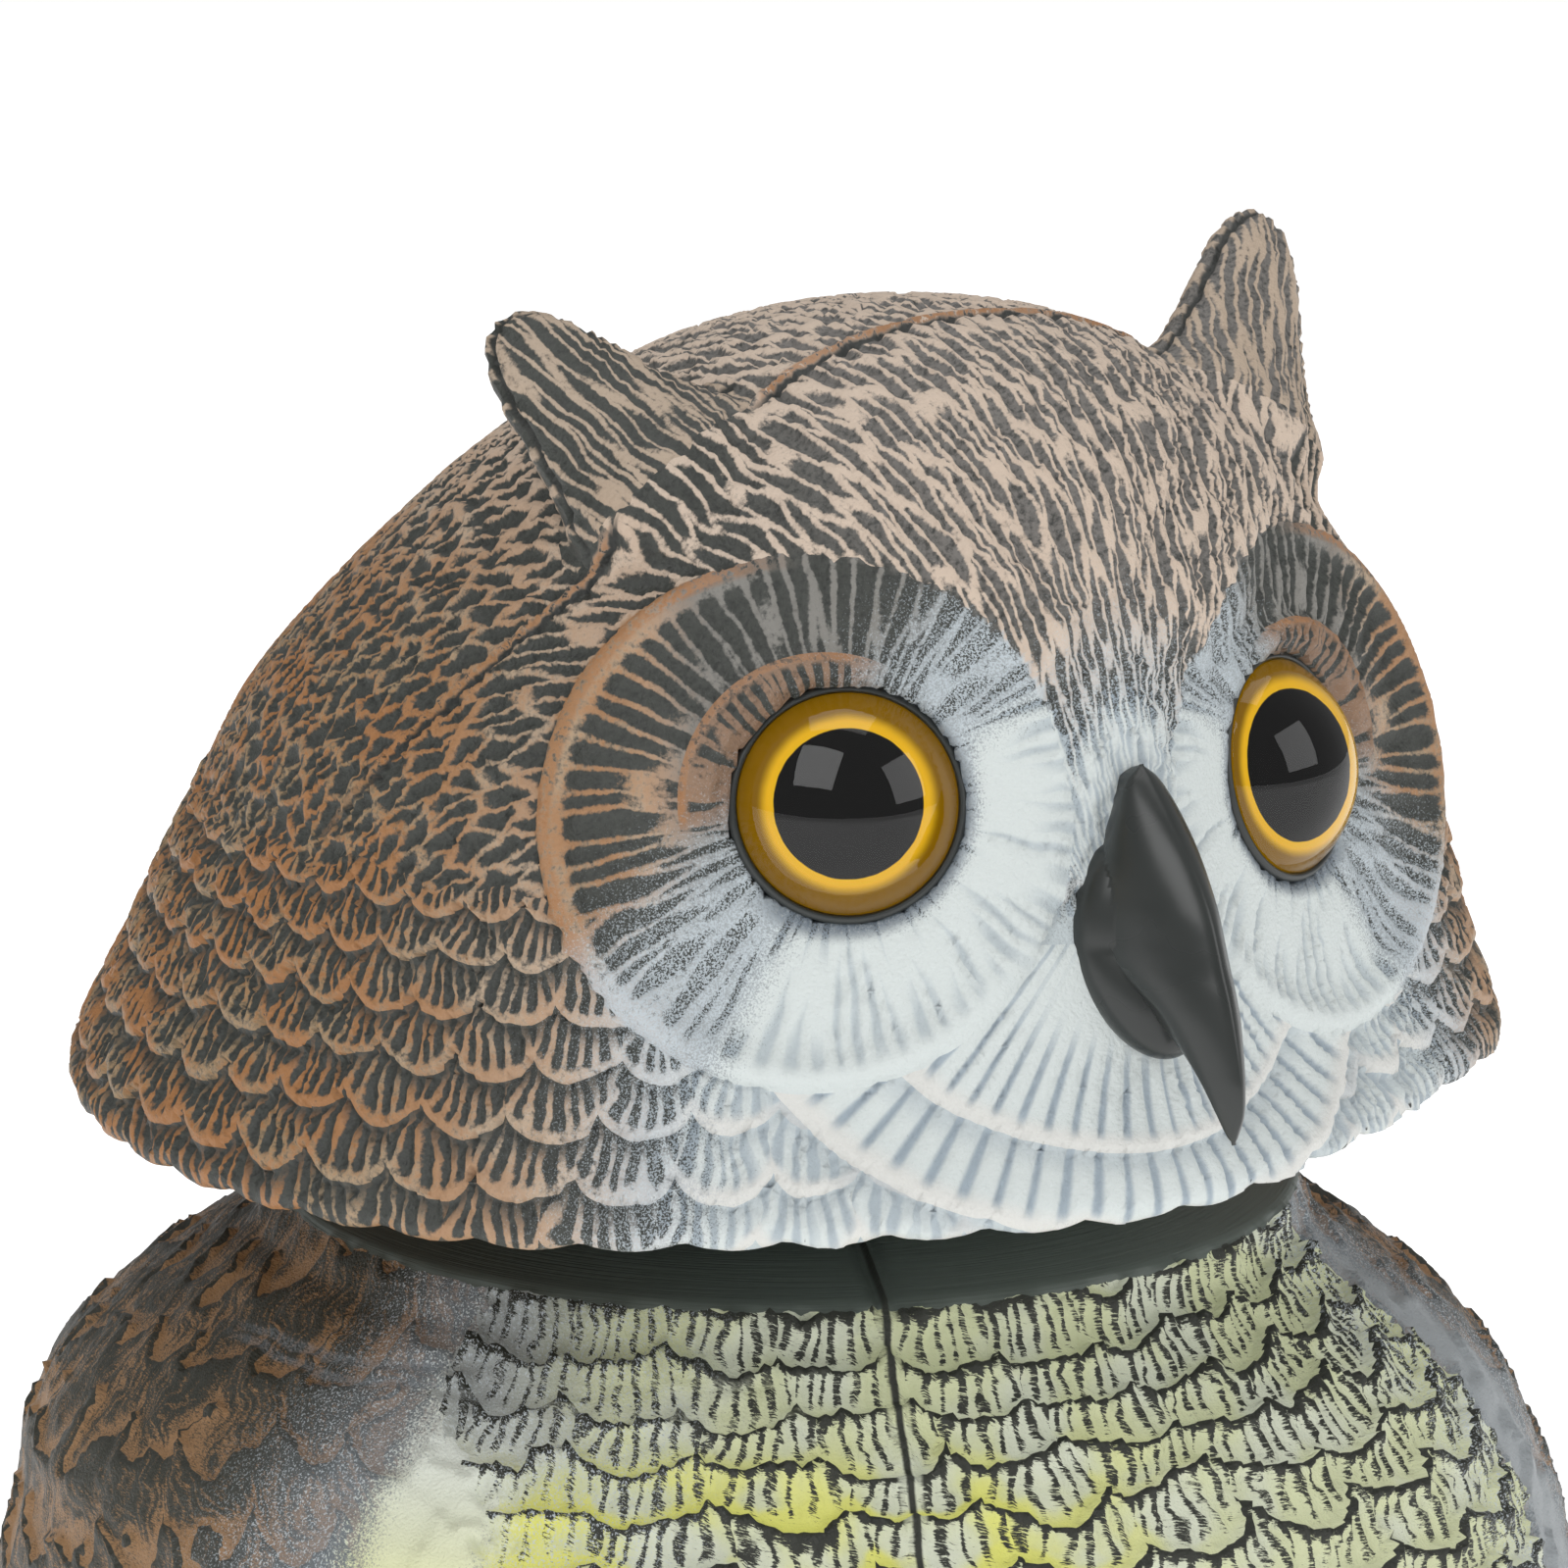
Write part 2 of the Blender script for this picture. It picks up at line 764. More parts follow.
    def tuft_coordinates(self, points: Array) -> tuple[Array, Array]:
        """Where points lie in the tuft on their side.

        Args:
            points: Places in the head frame.

        Returns:
            Crosswise and lengthwise distances with membership, and distances to the front.
        """
        found, thick = np.zeros_like(points), np.zeros(len(points))
        for side in Side:
            mask = points[:, 0] * side.value > 0
            a, l, c, member = self.tuft.coordinates(side, points[mask])
            found[mask] = np.stack([a, l, member], axis=1)
            thick[mask] = -side.value * c
        return found, thick

    def paint_masks(self, points: Array, disc: Array) -> Array:
        """Where white is sprayed, where the ridges turn orange and where specks fall.

        Args:
            points: Places in the head frame.
            disc: Their disc coordinates.

        Returns:
            White, orange (dusty where below 0) and speckle shares for each point.
        """
        x, y, z = points.T
        azimuth = np.degrees(np.arctan2(x, -y))
        o, u = self.from_eye(disc)
        r = np.hypot(o, u)
        inside = (np.hypot(disc[:, 0], disc[:, 1]) < self.disc_reach) & self.on_face(points, disc)
        toward_beak = -0.707 * o - 0.707 * u - 0.29 * r
        white_disc = smoothstep(-7, 7, toward_beak) * smoothstep(16.0, 21.5, r)
        from_chin = np.abs(azimuth) - 44
        chin = (1 - smoothstep(-13, 4, from_chin)) * (1 - smoothstep(36, 62, z))
        above_beak = np.hypot(x, (z - 56) * 0.62)
        nose = (1 - smoothstep(6, 18, above_beak)) * (y < -60)
        white = np.where(inside, white_disc, np.maximum(chin, nose))
        spray_disc = smoothstep(-26, 2, toward_beak + 0.35 * r)
        spray_out = np.maximum(
            (1 - smoothstep(-8, 16, from_chin)) * (1 - smoothstep(30, 66, z)),
            0.8 * (1 - smoothstep(10, 34, above_beak)) * (y < -50),
        )
        spray = np.where(inside, spray_disc, spray_out)
        orange = smoothstep(30, 75, np.abs(azimuth)) * (1 - smoothstep(70, 118, z))
        orange = np.maximum(orange, 0.75 * smoothstep(10, 30, disc[:, 0]) * inside)
        dusty = smoothstep(-52, -22, x) * smoothstep(72, 98, z) * ~inside
        orange = np.where(orange > 0.05, orange, -dusty)
        return np.stack([white, orange, spray], axis=1)

    def seat_eyes(self, points: Array, disc: Array) -> Array:
        """Sinks a round seat where each eye goes.

        Args:
            points: Places in the head frame.
            disc: Their disc coordinates.

        Returns:
            The points, moved.
        """
        sunk = (np.hypot(*self.from_eye(disc)) < self.disc.seat_radius) & self.on_face(points, disc)
        moved = points.copy()
        for side in Side:
            here = sunk & (points[:, 0] * side.value > 0)
            normal = self.shape.axes(side)[0]
            moved[here] -= (disc[here, 2] + self.disc.seat_depth)[:, None] * normal
        return moved

    def scalloped(self, points: Array) -> Array:
        """Points with small scallops along the hem, one below each scale feather."""
        azimuth = np.arctan2(points[:, 0], -points[:, 1])
        above = points[:, 2] - self.shape.hem(azimuth)
        outer = np.hypot(points[:, 0], points[:, 1]) > 80
        wave = np.abs(np.sin(azimuth / 2 * self.scallops)) ** 0.7 - 0.6
        fade = 1 - smoothstep(0, self.scallop_rise, above)
        moved = points.copy()
        moved[:, 2] -= self.scallop_depth * wave * fade * outer
        return moved

    def build(self) -> bpy.types.Object:
        """Builds, carves and paints the head shell.

        Returns:
            The finished piece.
        """
        piece = self.skin()
        self.thin_underside(piece)
        mesh = piece.data
        points = coordinates(mesh)
        disc = self.disc_coordinates(points)
        store(mesh, "place", points)
        store(mesh, "disc", disc)
        tuft, thick = self.tuft_coordinates(points)
        store(mesh, "flow", np.column_stack([self.flow(points), thick]))
        store(mesh, "tuft", tuft)
        store(mesh, "paint", self.paint_masks(points, disc))
        set_coordinates(mesh, self.scalloped(self.seat_eyes(points, disc)))
        Clouds(self.cloud_scales).keep(piece)
        carve(piece, HeadFeathers())
        set_coordinates(piece.data, turned(coordinates(piece.data)) * MM)
        piece.data.materials.clear()
        piece.data.materials.append(HeadPaint().material())
        finish_piece(piece, Body.SKULL, "head")
        return piece


@dataclass(frozen=True)
class HeadFeathers:
    """Relief of the head: forehead and side strokes, disc rays, scale rows and chin bibs."""

    head: HeadShape = field(default_factory=HeadShape)
    stroke_width: float = 2.45
    stroke_length: float = 10.5
    tuft_stroke_width: float = 2.2
    tuft_stroke_length: float = 24.0
    rays: float = 64.0
    ray_length: float = 26.0
    disc_reach: float = 38.4
    disc_behind: float = -9.0
    ring_radius: float = 21.2
    scales_round: float = 61.0
    scales_fewer: float = 2.6
    scale_pitch: float = 6.6
    scale_top: float = 49.0
    bibs: tuple[tuple[float, float], ...] = ((0.58, 33.0), (0.40, 22.0))
    bib_top: float = 33.5
    fan_top: float = 58.0
    fan_lines: float = 12.8
    seam_y: float = -47.0
    seam_tilt: float = 0.12
    seam_slope: float = 0.78
    seam_bend: float = 97.0
    bead_height: float = 0.75
    line_depth: float = 1.1

    def build(self, g: Graph) -> Strokes:
        """Adds the nodes of the relief.

        Args:
            g: Where the nodes go.

        Returns:
            Height in millimetres and the masks that the paint follows.
        """
        place = g.attribute("place")
        x, y, z = g.split(place)
        azimuth = g.math("ARCTAN2", x, g.mul(y, -1.0))
        warp, fine_warp, patch = g.split(g.attribute("clouds"))
        across, along, thick = g.split(g.attribute("flow"))
        a, l, member = g.split(g.attribute("tuft"))

        seam = self.seam(g, x, y, z)
        behind = g.math("GREATER_THAN", seam, 0.0)
        side = g.mul(g.step(z, 92.0, 74.0), g.step(g.math("ABSOLUTE", x), 34.0, 48.0))
        wild = g.math("MAXIMUM", behind, side)
        u = g.add(g.mul(across, 1 / self.stroke_width), g.mul(warp, 1.3))
        u = g.add(u, g.mul(g.mul(fine_warp, wild), 0.9))
        v = g.add(g.mul(along, 1 / self.stroke_length), g.mul(fine_warp, 0.4))
        v = g.add(g.mul(v, g.affine(wild, 0.3, 1.0)), g.mul(behind, 17.3))
        v = g.add(v, g.mul(u, 0.5))

        on_tuft = g.math("GREATER_THAN", g.add(member, g.affine(fine_warp, 0.6, -0.3)), 0.5)
        tuft_u = g.add(g.mul(a, 1 / self.tuft_stroke_width), g.mul(warp, 1.6))
        tuft_v = g.add(g.mul(l, 1 / self.tuft_stroke_length), g.mul(tuft_u, 0.5))
        u, v = g.pick(on_tuft, u, tuft_u), g.pick(on_tuft, v, tuft_v)

        rows = self.rows(g, azimuth, z, warp)
        u, v = g.pick(rows["on"], u, rows["u"]), g.pick(rows["on"], v, rows["v"])
        disc = self.disc(g, warp, fine_warp)
        u, v = g.pick(disc["on"], u, disc["u"]), g.pick(disc["on"], v, disc["v"])
        off_disc = g.sub(1.0, disc["on"])

        scatter = g.pick(rows["on"], 0.8, g.pick(rows["bib"], 0.5, 0.12))
        border = g.edges(g.join(u, v), g.pick(disc["on"], scatter, 0.75))
        narrow = g.pick(rows["on"], 0.02, g.pick(rows["bib"], 0.10, 0.26))
        disc_narrow = g.math("MAXIMUM", g.mul(disc["pale"], 0.14), g.mul(disc["ring"], 0.16))
        narrow = g.pick(disc["on"], narrow, disc_narrow)
        groove = g.step(border, narrow, g.affine(narrow, 0.5, 0.32))
        keep = g.pick(rows["on"], 1.0, rows["grooved"])
        groove = g.mul(groove, g.pick(disc["on"], keep, disc["grooved"]))
        ridge = g.sub(1.0, groove)

        height = g.mul(g.sub(ridge, 0.5), g.pick(disc["on"], 1.1, 1.0))
        height = g.add(height, g.mul(rows["on"], g.mul(rows["lift"], off_disc)))
        height = g.add(height, g.mul(disc["on"], disc["lift"]))
        height = g.mul(height, g.pick(on_tuft, 1.0, 0.6))
        height = g.mul(height, g.pick(disc["on"], 1.0, disc["clear"]))

        seam_on = g.mul(g.step(z, 46.0, 66.0), g.sub(1.0, g.step(member, 0.2, 0.6)))
        seam_on = g.mul(seam_on, off_disc)
        line = g.mul(g.step(g.math("ABSOLUTE", seam), 0.75, 0.25), seam_on)
        bead = g.mul(g.mul(g.step(seam, 2.4, 1.4), behind), seam_on)
        height = g.pick(bead, height, self.bead_height)
        parting = g.math("ABSOLUTE", g.affine(thick, 1.0, -1.6))
        parting = g.mul(g.step(parting, 0.9, 0.35), g.step(member, 0.35, 0.6))
        line = g.math("MAXIMUM", line, parting)
        height = g.sub(height, g.mul(line, self.line_depth))
        return Strokes(
            place=place,
            height=g.mul(height, g.step(rows["above_hem"], 0.2, 3.5)),
            ridge=ridge,
            recess=g.mul(rows["on"], g.mul(rows["recess"], off_disc)),
            lip=g.mul(rows["on"], g.mul(rows["lip"], off_disc)),
            extra={
                "patch": patch, "fine": fine_warp, "tuft": on_tuft, "line": line,
                "disc_on": disc["on"], "rim": disc["rim"], "inner_ring": disc["ring"],
                "ring_edge": disc["ring_edge"], "bib": rows["bib"],
                "bead": g.mul(bead, g.sub(1.0, line)), "shadow": disc["shadow"],
                "above_hem": rows["above_hem"],
            },
        )

    def seam(self, g: Graph, x: Socket, y: Socket, z: Socket) -> Socket:
        """Distance behind the mould seam over the crown."""
        low = g.math("MAXIMUM", g.affine(z, -1.0, self.seam_bend), 0.0)
        at = g.add(g.affine(x, self.seam_tilt, self.seam_y), g.mul(low, self.seam_slope))
        return g.sub(y, at)

    def rows(self, g: Graph, azimuth: Socket, z: Socket, warp: Socket) -> dict[str, Socket]:
        """Scale feathers round the lower head, and the two wide bibs under the beak.

        Args:
            g: Where the nodes go.
            azimuth: Angle round the head, in radians.
            z: Height above the hem level.
            warp: Broad unevenness, from 0 to 1.

        Returns:
            Stroke coordinates u and v, heights and masks of the rows.
        """
        sway = g.affine(warp, 2.0, -1.0)
        hem = g.math("SINE", g.affine(azimuth, 1.0, -math.radians(self.head.hem_slant_deg)))
        hem_top = self.scale_top + self.head.hem_mean
        below_top = g.sub(g.affine(hem, self.head.hem_slant, hem_top), z)
        down = g.mul(below_top, g.affine(below_top, -0.00045, 1 / self.scale_pitch))
        turn = g.mul(azimuth, 1 / math.tau)

        def across(row: Socket) -> Socket:
            """Position along one row, which has its own number of feathers."""
            count = g.affine(row, -self.scales_fewer, self.scales_round)
            return g.add(g.mul(turn, count), g.add(g.mul(sway, 0.2), g.mul(row, 0.37)))

        scale = Scales().build(g, across, g.add(down, g.mul(sway, 0.3)))
        spread = g.sub(1.25, g.mul(scale["d"], 0.35))
        u = g.math("DIVIDE", scale["x"], spread)
        u = g.add(g.mul(u, 6.0), g.add(g.mul(scale["column"], 7.0), g.mul(scale["row"], 3.5)))
        v = g.add(g.mul(scale["row"], 5.0), g.mul(scale["column"], 2.0))
        v = g.add(v, g.affine(scale["d"], 0.2, 0.12))
        on = g.math("GREATER_THAN", g.add(below_top, g.mul(sway, 6.0)), 0.0)
        d, e = scale["d"], scale["e"]
        bib_any: Socket | float = 0.0
        for half, depth in self.bibs:
            side = g.mul(g.add(azimuth, 0.02), 1 / half)
            below = g.mul(g.sub(self.bib_top, z), 1 / depth)
            reach = g.add(g.length(side, below), g.mul(sway, 0.015))
            inside = g.mul(g.math("LESS_THAN", reach, 1.0), g.math("GREATER_THAN", below, -0.35))
            fan = g.math("ARCTAN2", g.mul(azimuth, 100.0), g.sub(self.fan_top, z))
            u = g.pick(inside, u, g.affine(fan, self.fan_lines, depth))
            v = g.pick(inside, v, g.affine(reach, 0.3, depth - 0.2))
            outside = g.mul(g.sub(reach, 1.0), depth / 8.5)
            e = g.pick(inside, g.math("MINIMUM", e, g.math("MAXIMUM", outside, 0.0)), 2.0)
            d = g.pick(inside, d, g.mul(g.sub(1.0, reach), depth / 8.5))
            bib_any = g.math("MAXIMUM", inside, bib_any)
        grooved = g.step(d, 0.12, 0.36)
        slots = g.mul(grooved, g.step(d, 2.0, 1.3))
        lift = g.add(g.step(d, 1.5, 0.1), g.mul(g.step(d, 0.12, 0.0), -0.6))
        lift = g.sub(lift, g.mul(g.step(e, 0.35, 0.0), 0.6))
        return {
            "on": on, "u": u, "v": v, "grooved": g.pick(bib_any, grooved, slots),
            "lip": g.step(d, 0.42, 0.12), "lift": g.affine(lift, 1.0, -0.35),
            "recess": g.step(e, 0.5, 0.02), "bib": bib_any,
            "above_hem": g.sub(self.scale_top, below_top),
        }

    def disc(self, g: Graph, warp: Socket, fine_warp: Socket) -> dict[str, Socket]:
        """Rays of the facial discs, their rims and the raised ring over each eye.

        Args:
            g: Where the nodes go.
            warp: Broad unevenness, from 0 to 1.
            fine_warp: Fine unevenness, from 0 to 1.

        Returns:
            Stroke coordinates u and v, heights and masks of the discs.
        """
        out, up, depth = g.split(g.attribute("disc"))
        r = g.length(out, up)
        outer = g.add(g.mul(out, 0.84), g.mul(up, 0.1))
        rim_side = g.math("MAXIMUM", g.step(outer, 2.0, 16.0), g.step(up, -14.0, -26.0))
        far = g.pick(rim_side, g.add(r, g.affine(fine_warp, 5.0, -2.5)), r)
        near = g.mul(
            g.math("LESS_THAN", far, self.disc_reach),
            g.math("GREATER_THAN", depth, self.disc_behind),
        )
        ex, ey = g.affine(out, 1.0, 4.8), g.affine(up, 1.0, -2.4)
        turn_x = g.add(g.mul(ex, 0.6), g.mul(ey, 0.8))
        turn_y = g.sub(g.mul(ey, 0.6), g.mul(ex, 0.8))
        angle = g.math("ARCTAN2", turn_y, turn_x)
        eye_r = g.length(ex, ey)
        ring_x, ring_y = g.affine(out, 1.0, 2.4), g.affine(up, 1.0, -3.4)
        ring_r = g.length(ring_x, ring_y)
        lean = g.add(g.mul(ring_x, 0.92), g.mul(ring_y, 0.39))
        ring_side = g.mul(g.step(lean, -3.0, 3.0), g.step(ring_y, -6.0, -2.0))
        in_ring = g.mul(g.math("LESS_THAN", ring_r, self.ring_radius), ring_side)
        u = g.add(g.mul(angle, self.rays / math.tau), g.mul(warp, 0.9))
        ring_shift = g.mul(g.math("GREATER_THAN", in_ring, 0.5), 9.4)
        v = g.add(g.mul(eye_r, 1 / self.ray_length), ring_shift)
        edge = g.pick(rim_side, 1.0, g.step(r, 36.2, 34.0))
        ring_edge = g.mul(g.step(ring_r, 19.2, 20.4), in_ring)
        inner = g.step(g.sub(g.mul(ex, -0.75), g.mul(ey, 0.66)), -4.0, 6.0)
        return {
            "on": near, "u": u, "v": v, "grooved": g.mul(edge, g.sub(1.0, ring_edge)),
            "lift": g.mul(g.mul(g.step(ring_r, 21.4, 20.2), ring_side), 1.3),
            "rim": g.mul(g.mul(g.step(r, 36.1, 37.2), g.step(outer, 2.0, 16.0)), near),
            "ring": g.mul(in_ring, near), "ring_edge": g.mul(ring_edge, near),
            "pale": g.step(g.add(g.mul(out, -0.6), g.mul(up, -0.8)), -2.0, 12.0),
            "shadow": g.mul(g.mul(g.step(eye_r, 20.2, 17.4), inner), near),
            "clear": g.step(eye_r, 17.6, 19.2),
        }
    def disc(self, g: Graph, warp: Socket, fine_warp: Socket) -> dict[str, Socket]:
        """Rays of the facial discs, their rims and the raised ring over each eye."""
        out, up, depth = g.split(g.attribute("disc"))
        r = g.length(out, up)
        outer = g.add(g.mul(out, 0.84), g.mul(up, 0.1))
        rim_side = g.math("MAXIMUM", g.step(outer, 2.0, 16.0), g.step(up, -14.0, -26.0))
        uneven = g.affine(fine_warp, 5.0, -2.5)
        far = g.pick(rim_side, g.add(r, uneven), r)
        near = g.mul(g.math("LESS_THAN", far, 38.4), g.math("GREATER_THAN", depth, -9.0))
        ex, ey = g.affine(out, 1.0, 4.8), g.affine(up, 1.0, -2.4)
        turn_x = g.add(g.mul(ex, 0.6), g.mul(ey, 0.8))
        turn_y = g.sub(g.mul(ey, 0.6), g.mul(ex, 0.8))
        angle = g.math("ARCTAN2", turn_y, turn_x)
        eye_r = g.length(ex, ey)
        ring_x, ring_y = g.affine(out, 1.0, 2.4), g.affine(up, 1.0, -3.4)
        ring_r = g.length(ring_x, ring_y)
        lean = g.add(g.mul(ring_x, 0.92), g.mul(ring_y, 0.39))
        ring_side = g.mul(g.step(lean, -3.0, 3.0), g.step(ring_y, -6.0, -2.0))
        in_ring = g.mul(g.math("LESS_THAN", ring_r, 21.2), ring_side)
        u = g.add(g.mul(angle, self.rays / math.tau), g.mul(warp, 0.9))
        v = g.add(g.mul(eye_r, 1 / self.ray_length), g.mul(g.math("GREATER_THAN", in_ring, 0.5), 9.4))
        edge = g.pick(rim_side, 1.0, g.step(r, 36.2, 34.0))
        ring_edge = g.mul(g.step(ring_r, 19.2, 20.4), in_ring)
        grooved = g.mul(edge, g.sub(1.0, ring_edge))
        lift = g.mul(g.mul(g.step(ring_r, 21.4, 20.2), ring_side), 1.3)
        pale = g.step(g.add(g.mul(out, -0.6), g.mul(up, -0.8)), -2.0, 12.0)
        inner = g.step(g.sub(g.mul(ex, -0.75), g.mul(ey, 0.66)), -4.0, 6.0)
        shadow = g.mul(g.mul(g.step(eye_r, 20.2, 17.4), inner), near)
        clear = g.step(eye_r, 17.6, 19.2)
        return {
            "on": near, "u": u, "v": v, "grooved": grooved, "lift": lift, "r": r,
            "rim": g.mul(g.mul(g.step(r, 36.1, 37.2), g.step(outer, 2.0, 16.0)), near),
            "ring": g.mul(in_ring, near), "ring_edge": g.mul(ring_edge, near),
            "pale": pale, "shadow": shadow, "clear": clear,
        }


@dataclass(frozen=True)
class Clouds:
    """Three soft cloud patterns kept with the mesh, for the relief and the paint to share."""

    scales: tuple[float, float, float]

    def keep(self, piece: bpy.types.Object) -> None:
        """Works the clouds out at each vertex of a piece and stores them."""
        tree, g, source = new_relief("clouds")
        place = g.attribute("place")
        values = [g.noise(place, scale, 3.0) for scale in self.scales]
        kept = g.node("GeometryNodeStoreNamedAttribute", data_type="FLOAT_VECTOR", domain="POINT")
        g.feed(kept.inputs["Geometry"], source)
        kept.inputs["Name"].default_value = "clouds"
        g.feed(kept.inputs["Value"], g.join(*values))
        run_relief(piece, tree, g, kept.outputs[0])


def new_relief(name: str) -> tuple[bpy.types.NodeTree, Graph, Socket]:
    """Empty tree that works on a mesh, its graph and the mesh that comes in."""
    tree = bpy.data.node_groups.new(name, "GeometryNodeTree")
    tree.interface.new_socket("Geometry", in_out="INPUT", socket_type="NodeSocketGeometry")
    tree.interface.new_socket("Geometry", in_out="OUTPUT", socket_type="NodeSocketGeometry")
    g = Graph(tree)
    return tree, g, g.node("NodeGroupInput").outputs[0]


def run_relief(piece: bpy.types.Object, tree: bpy.types.NodeTree, g: Graph, result: Socket) -> None:
    """Applies a tree to a piece and removes the tree."""
    g.node("NodeGroupOutput", result)
    modifier = piece.modifiers.new("relief", "NODES")
    modifier.node_group = tree
    applied(piece)
    bpy.data.node_groups.remove(tree)


def carve(piece: bpy.types.Object, feathers: "HeadFeathers | BodyFeathers") -> None:
    """Moves the skin along its normals by the relief of its feathers.

    Args:
        piece: The piece, in millimetres.
        feathers: The relief.
    """
    tree, g, source = new_relief("relief")
    strokes = feathers.build(g)
    normal = g.node("GeometryNodeInputNormal").outputs[0]
    made = g.node("ShaderNodeVectorMath", normal, operation="SCALE")
    g.feed(made.inputs["Scale"], strokes.height)
    moved = g.node("GeometryNodeSetPosition", source, None, None, made.outputs[0])
    run_relief(piece, tree, g, moved.outputs[0])


def new_material(name: str, roughness: float) -> tuple[bpy.types.Material, Graph, bpy.types.Node]:
    """Empty material with a plain surface.

    Args:
        name: The material's name.
        roughness: Roughness of the surface.

    Returns:
        The material, its graph and its surface node.
    """
    material = bpy.data.materials.new(name)
    material.use_nodes = True
    graph = Graph(material.node_tree)
    surface = material.node_tree.nodes["Principled BSDF"]
    surface.inputs["Roughness"].default_value = roughness
    return material, graph, surface


@dataclass(frozen=True)
class HeadPaint:
    """Dry-brushed tan and orange over slate, with white sprayed over the face and chin."""

    slate: tuple[float, ...] = (0.050, 0.054, 0.047, 1)
    dusty: tuple[float, ...] = (0.18, 0.168, 0.155, 1)
    pit: tuple[float, ...] = (0.026, 0.028, 0.025, 1)
    tan: tuple[float, ...] = (0.36, 0.25, 0.14, 1)
    orange: tuple[float, ...] = (0.36, 0.165, 0.060, 1)
    pink: tuple[float, ...] = (0.62, 0.50, 0.40, 1)
    cool: tuple[float, ...] = (0.20, 0.215, 0.21, 1)
    white: tuple[float, ...] = (0.66, 0.71, 0.70, 1)
    cream: tuple[float, ...] = (0.70, 0.70, 0.67, 1)
    haze: tuple[float, ...] = (0.29, 0.36, 0.43, 1)
    frost: tuple[float, ...] = (0.52, 0.58, 0.62, 1)
    dusk: tuple[float, ...] = (0.10, 0.13, 0.165, 1)

    def material(self) -> bpy.types.Material:
        """Builds the paint.

        Returns:
            The material.
        """
        material, g, surface = new_material("head_paint", 0.5)
        s = HeadFeathers().build(g)
        white, orange, spray = g.split(g.attribute("paint"))
        brush = g.noise(s.place, 1.1, 4.0, 0.65)
        speck = g.noise(s.place, 3.4, 2.0, 0.7)
        patch = s.extra["patch"]

        dry = g.add(g.affine(brush, 1.3, -0.65), g.affine(patch, 0.8, -0.4))
        brushed = g.step(g.add(s.ridge, g.sub(dry, g.mul(orange, 0.06))), 0.50, 0.98)
        brushed = g.mul(brushed, g.sub(1.0, g.mul(s.recess, 0.9)))
        solid = g.math("MAXIMUM", s.extra["rim"], s.extra["ring_edge"])
        solid = g.math("MAXIMUM", solid, s.extra["bead"])
        solid = g.mul(solid, g.step(brush, 0.38, 0.48))
        dim = g.mul(s.extra["disc_on"], g.step(orange, 0.6, 0.1))
        brushed = g.mul(brushed, g.affine(dim, -0.25, 1.0))
        brushed = g.mul(brushed, g.affine(s.extra["tuft"], -0.15, 1.0))
        brushed = g.math("MAXIMUM", brushed, solid)
        solid = g.math("MAXIMUM", solid, g.mul(s.extra["inner_ring"], 0.8))
        warm = g.math("MAXIMUM", orange, g.mul(solid, 0.9))
        warm = g.mul(warm, g.step(g.add(patch, g.mul(brush, 0.5)), 0.60, 0.82))
        tanned = g.math("MAXIMUM", orange, g.mul(s.extra["tuft"], 0.35))
        ridge_tint = g.tint(tanned, self.pink, self.tan)
        ridge_tint = g.tint(g.mul(dim, 0.8), ridge_tint, self.cool)
        ridge_tint = g.tint(g.math("MAXIMUM", warm, g.mul(solid, 0.8)), ridge_tint, self.orange)
        ridge_tint = g.tint(g.mul(g.step(spray, 0.35, 0.95), 0.8), ridge_tint, self.frost)
        ground = g.tint(g.math("MAXIMUM", g.mul(orange, -1.0), 0.0), self.slate, self.dusty)
        ground = g.tint(g.step(brush, 0.26, 0.60), self.pit, ground)
        colour = g.tint(brushed, ground, ridge_tint)
        colour = g.tint(s.extra["line"], colour, self.pit)

        dots = g.step(g.add(speck, g.mul(spray, 0.20)), 0.64, 0.74)
        colour = g.tint(g.mul(dots, g.mul(spray, 0.9)), colour, self.frost)
        cover = g.step(g.add(white, g.affine(speck, 1.5, -0.75)), 0.30, 0.80)
        blue = g.mul(g.sub(1.0, s.ridge), g.sub(1.15, white))
        deep = g.pick(s.extra["disc_on"], g.affine(s.extra["bib"], 0.2, 0.6), 0.4)
        blue = g.math("MAXIMUM", g.affine(blue, 1.4, 0.0), g.mul(g.sub(1.0, s.ridge), deep))
        blue = g.math("MAXIMUM", blue, g.mul(s.recess, 0.35))
        whites = g.tint(s.lip, self.white, self.cream)
        whites = g.tint(g.math("MINIMUM", blue, 1.0), whites, self.haze)
        colour = g.tint(cover, colour, whites)
        dusk = g.mul(s.extra["shadow"], g.step(speck, 0.25, 0.6))
        colour = g.tint(g.mul(dusk, 0.9), colour, self.dusk)
        chips = g.mul(g.step(s.extra["above_hem"], 1.5, 1.0), g.step(s.extra["fine"], 0.63, 0.65))
        colour = g.tint(chips, colour, self.pit)
        g.feed(surface.inputs["Base Color"], colour)

        g.bump(surface, g.mul(g.noise(s.place, 1.6, 2.0), GRAIN_HEIGHT), 0.8)
        g.feed(surface.inputs["Roughness"], g.affine(brush, 0.3, 0.38))
        return material


# Eyes


